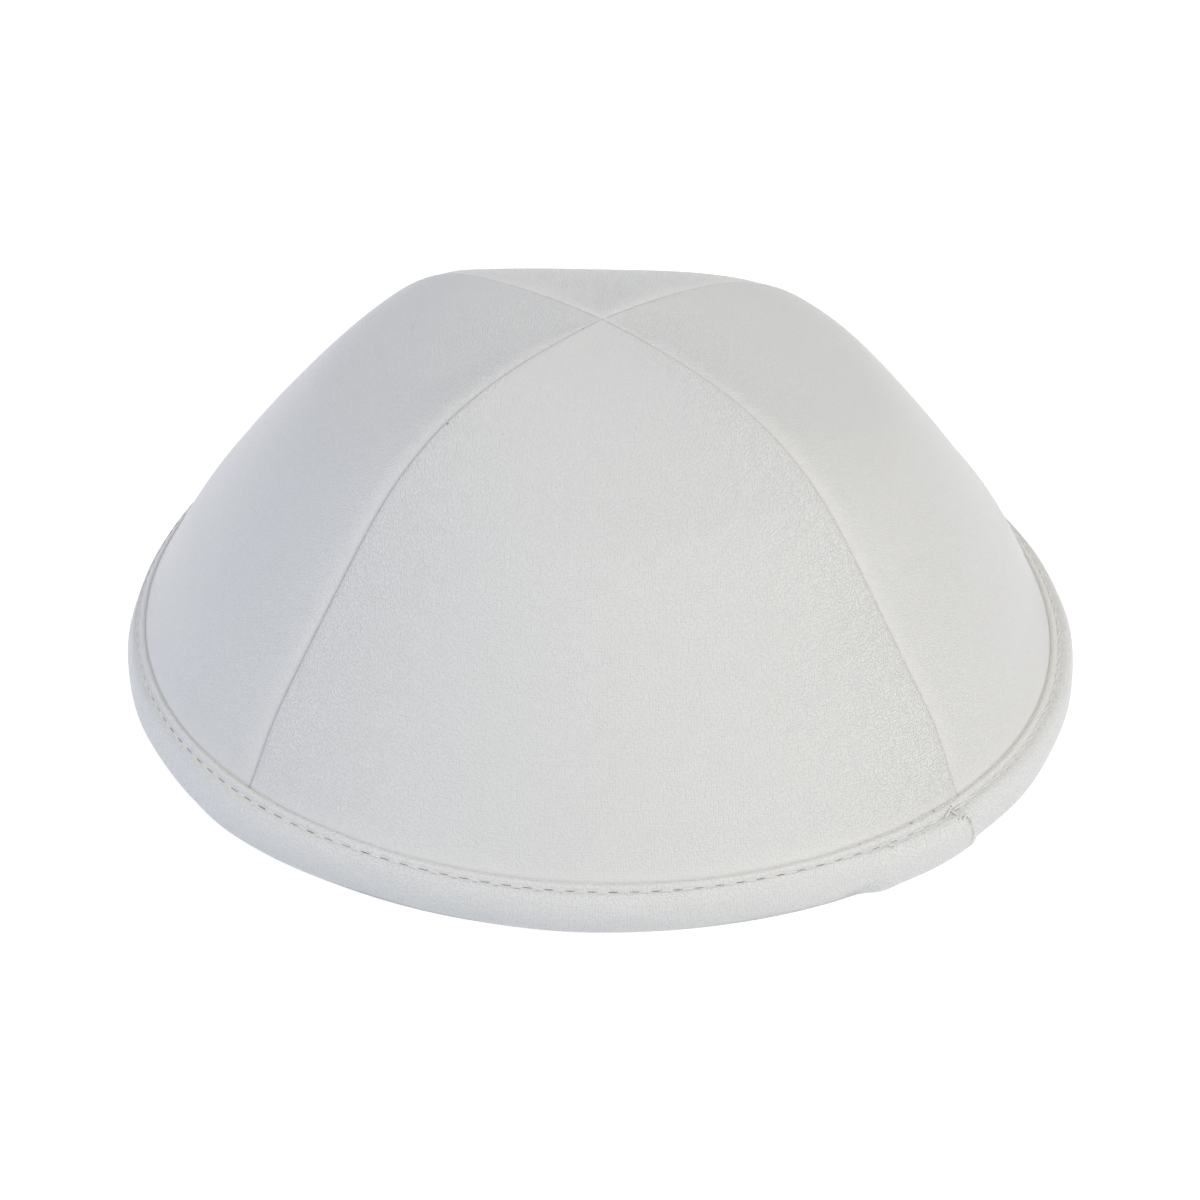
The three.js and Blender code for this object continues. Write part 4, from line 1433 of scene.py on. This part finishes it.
def strand_mesh(name, tubes):
    """One mesh of many closed tubes: the rings joined by quads, and each end closed by a fan of quads
    round the end ring's own centre."""
    strands, rings, sides = tubes.shape[:3]
    centres = tubes[:, [0, -1]].mean(2)
    vertices = np.concatenate([tubes.reshape(strands, -1, 3), centres], 1)
    wall = grid_quads(rings, sides, wrap=True)[:, ::-1]
    step = np.arange(0, sides, 2)
    first = rings * sides
    near = np.stack([np.full(len(step), first), step, step + 1, (step + 2) % sides], -1)
    far_ring = (rings - 1) * sides
    far = np.stack([np.full(len(step), first + 1), far_ring + (step + 2) % sides, far_ring + step + 1,
                    far_ring + step], -1)
    one = np.concatenate([wall, near, far])
    count = rings * sides + 2
    quads = (one[None] + (np.arange(strands) * count)[:, None, None]).reshape(-1, 4)
    piece = mesh_object(name, vertices.reshape(-1, 3), quads)
    index = quads.ravel() % count
    u = np.where(index < first, index // sides, (index - first) * rings) / rings * STRAND_TWISTS
    v = index % sides / sides
    uv_map(piece, "strand", np.stack([u, v], -1))
    return piece


def build_topstitch(binding, thread):
    """The topstitching: one short arc of thread between each two needle slots, sunk in the groove and
    leaning a little across the line."""
    pitch = 2 * math.pi / STITCH_COUNT
    number = np.arange(STITCH_COUNT) - STITCH_COUNT // 2
    rng = np.random.default_rng(7)
    begin = (number + STITCH_BEGINS + rng.uniform(-STITCH_STRAY, STITCH_STRAY, STITCH_COUNT)) * pitch
    finish = (number + STITCH_ENDS + rng.uniform(-STITCH_STRAY, STITCH_STRAY, STITCH_COUNT)) * pitch
    middle = (begin + finish) / 2
    raised = np.interp(np.degrees(middle), column(SEWING, "angle"), column(SEWING, "raised"))
    lean = thread.slant / MM / 2
    line = BINDING[STITCH_ROW]["out"]
    start = top_points(begin, np.full_like(begin, line - lean), binding)
    end = top_points(finish, np.full_like(finish, line + lean), binding)
    outward = outward_of(middle, start, end)
    radius = thread.thickness / 2
    sunk = binding.groove_depth * STITCH_SUNK
    start = start - outward * sunk
    end = end - outward * sunk
    tubes = strand_points(start, end, radius * (STITCH_LIFT + STITCH_RAISED * raised), radius, outward)
    return strand_mesh("topstitch_thread", tubes)


def build_strands(binding, thread):
    """The stray threads of the table, each an arc over the leather."""
    begin = np.radians(column(STRANDS, "from"))
    finish = np.radians(column(STRANDS, "to"))
    start = top_points(begin, column(STRANDS, "from_out"), binding)
    end = top_points(finish, column(STRANDS, "to_out"), binding)
    outward = outward_of((begin + finish) / 2, start, end)
    radius = thread.thickness * STRAY_THREAD
    tubes = strand_points(start, end, column(STRANDS, "lift") * MM + radius, radius, outward)
    return strand_mesh("joint_thread", tubes)


class KIPPAH_OT_topstitch(bpy.types.Operator):
    """Adds the topstitching along the binding"""

    bl_idname = "object.kippah_topstitch"
    bl_label = "Kippah topstitching"

    def execute(self, context):
        binding, thread = context.scene.kippah_binding, context.scene.kippah_thread
        material = thread_material(thread)
        for piece in (build_topstitch(binding, thread), build_strands(binding, thread)):
            piece.data.materials.append(material)
            finish_piece(piece, "binding_leather")
        return {"FINISHED"}


# Stage


def floor_object(settings):
    """A flat square floor under the cap."""
    reach = settings.floor_reach
    corners = np.array([[-reach, -reach, 0], [reach, -reach, 0], [reach, reach, 0], [-reach, reach, 0]])
    floor = mesh_object("floor", corners, np.array([[0, 1, 2, 3]]))
    floor.data.materials.append(glowing_floor("floor_paint", tuple(settings.floor_colour)))


def soft_light(name, azimuth, elevation, power, tint):
    """A square area light aimed at the middle of the cap from an azimuth and elevation in degrees."""
    data = bpy.data.lights.new(name, "AREA")
    data.shape = "SQUARE"
    data.size = LIGHT_SIZE
    data.energy = power
    data.color = tint
    light = bpy.data.objects.new(name, data)
    bpy.context.scene.collection.objects.link(light)
    turn, tilt = math.radians(azimuth), math.radians(elevation)
    reach = LIGHT_DISTANCE * math.cos(tilt)
    light.location = (reach * math.cos(turn), reach * math.sin(turn),
                      LIGHT_DISTANCE * math.sin(tilt) + LIGHT_AIM_HEIGHT)
    light.rotation_euler = (math.pi / 2 - tilt, 0, turn + math.pi / 2)


def place_camera(settings):
    """The camera at the photograph's angle: back along its line of sight from the point it looks at,
    turned about that line by the roll."""
    data = bpy.data.cameras.new("photo_camera")
    data.lens = settings.focal_length
    data.sensor_width = 36.0
    camera = bpy.data.objects.new("photo_camera", data)
    bpy.context.scene.collection.objects.link(camera)
    rise = settings.elevation
    camera.location = (0, -settings.distance * math.cos(rise),
                       settings.aim_height + settings.distance * math.sin(rise))
    camera.rotation_mode = "QUATERNION"
    aim = Euler((math.pi / 2 - rise, 0, 0)).to_quaternion()
    camera.rotation_quaternion = aim @ Quaternion((0, 0, 1), settings.roll)
    bpy.context.scene.camera = camera


class KIPPAH_OT_stage(bpy.types.Operator):
    """Adds the floor, the soft lights and the camera"""

    bl_idname = "scene.kippah_stage"
    bl_label = "Kippah stage"

    def execute(self, context):
        settings = context.scene.kippah_stage
        floor_object(settings)
        for light in LIGHTS:
            soft_light(**light)
        world = bpy.data.worlds.new("studio")
        world.use_nodes = True
        set_inputs(world.node_tree.nodes["Background"], Color=(*settings.sky_colour, 1.0),
                   Strength=settings.sky_strength)
        context.scene.world = world
        context.scene.view_settings.view_transform = "Standard"
        place_camera(settings)
        return {"FINISHED"}


class KIPPAH_PT_sidebar(bpy.types.Panel):
    """Lists the settings and the steps in the 3D view's sidebar"""

    bl_label = "Kippah"
    bl_idname = "KIPPAH_PT_sidebar"
    bl_space_type = "VIEW_3D"
    bl_region_type = "UI"
    bl_category = "Kippah"

    def draw(self, context):
        for name, step in STEPS:
            settings = getattr(context.scene, name)
            box = self.layout.box()
            for prop in settings.__annotations__:
                box.prop(settings, prop)
            box.operator(step)


STEPS = [
    ("kippah_crown", "object.kippah_crown"),
    ("kippah_binding", "object.kippah_binding"),
    ("kippah_thread", "object.kippah_topstitch"),
    ("kippah_stage", "scene.kippah_stage"),
]
SETTINGS = {
    "kippah_crown": KippahCrownSettings,
    "kippah_binding": KippahBindingSettings,
    "kippah_thread": KippahThreadSettings,
    "kippah_stage": KippahStageSettings,
}
CLASSES = [
    *SETTINGS.values(),
    KIPPAH_OT_crown,
    KIPPAH_OT_binding,
    KIPPAH_OT_topstitch,
    KIPPAH_OT_stage,
    KIPPAH_PT_sidebar,
]


def register():
    """Adds the classes, and the settings of each scene."""
    for cls in CLASSES:
        bpy.utils.register_class(cls)
    for name, group in SETTINGS.items():
        setattr(bpy.types.Scene, name, PointerProperty(type=group))


def unregister():
    """Takes away what register adds."""
    for name in SETTINGS:
        delattr(bpy.types.Scene, name)
    for cls in reversed(CLASSES):
        bpy.utils.unregister_class(cls)


def main():
    """Runs each step of the panel once with its default settings."""
    register()
    for _, step in STEPS:
        area, name = step.split(".")
        getattr(getattr(bpy.ops, area), name)()


if __name__ == "__main__":
    main()
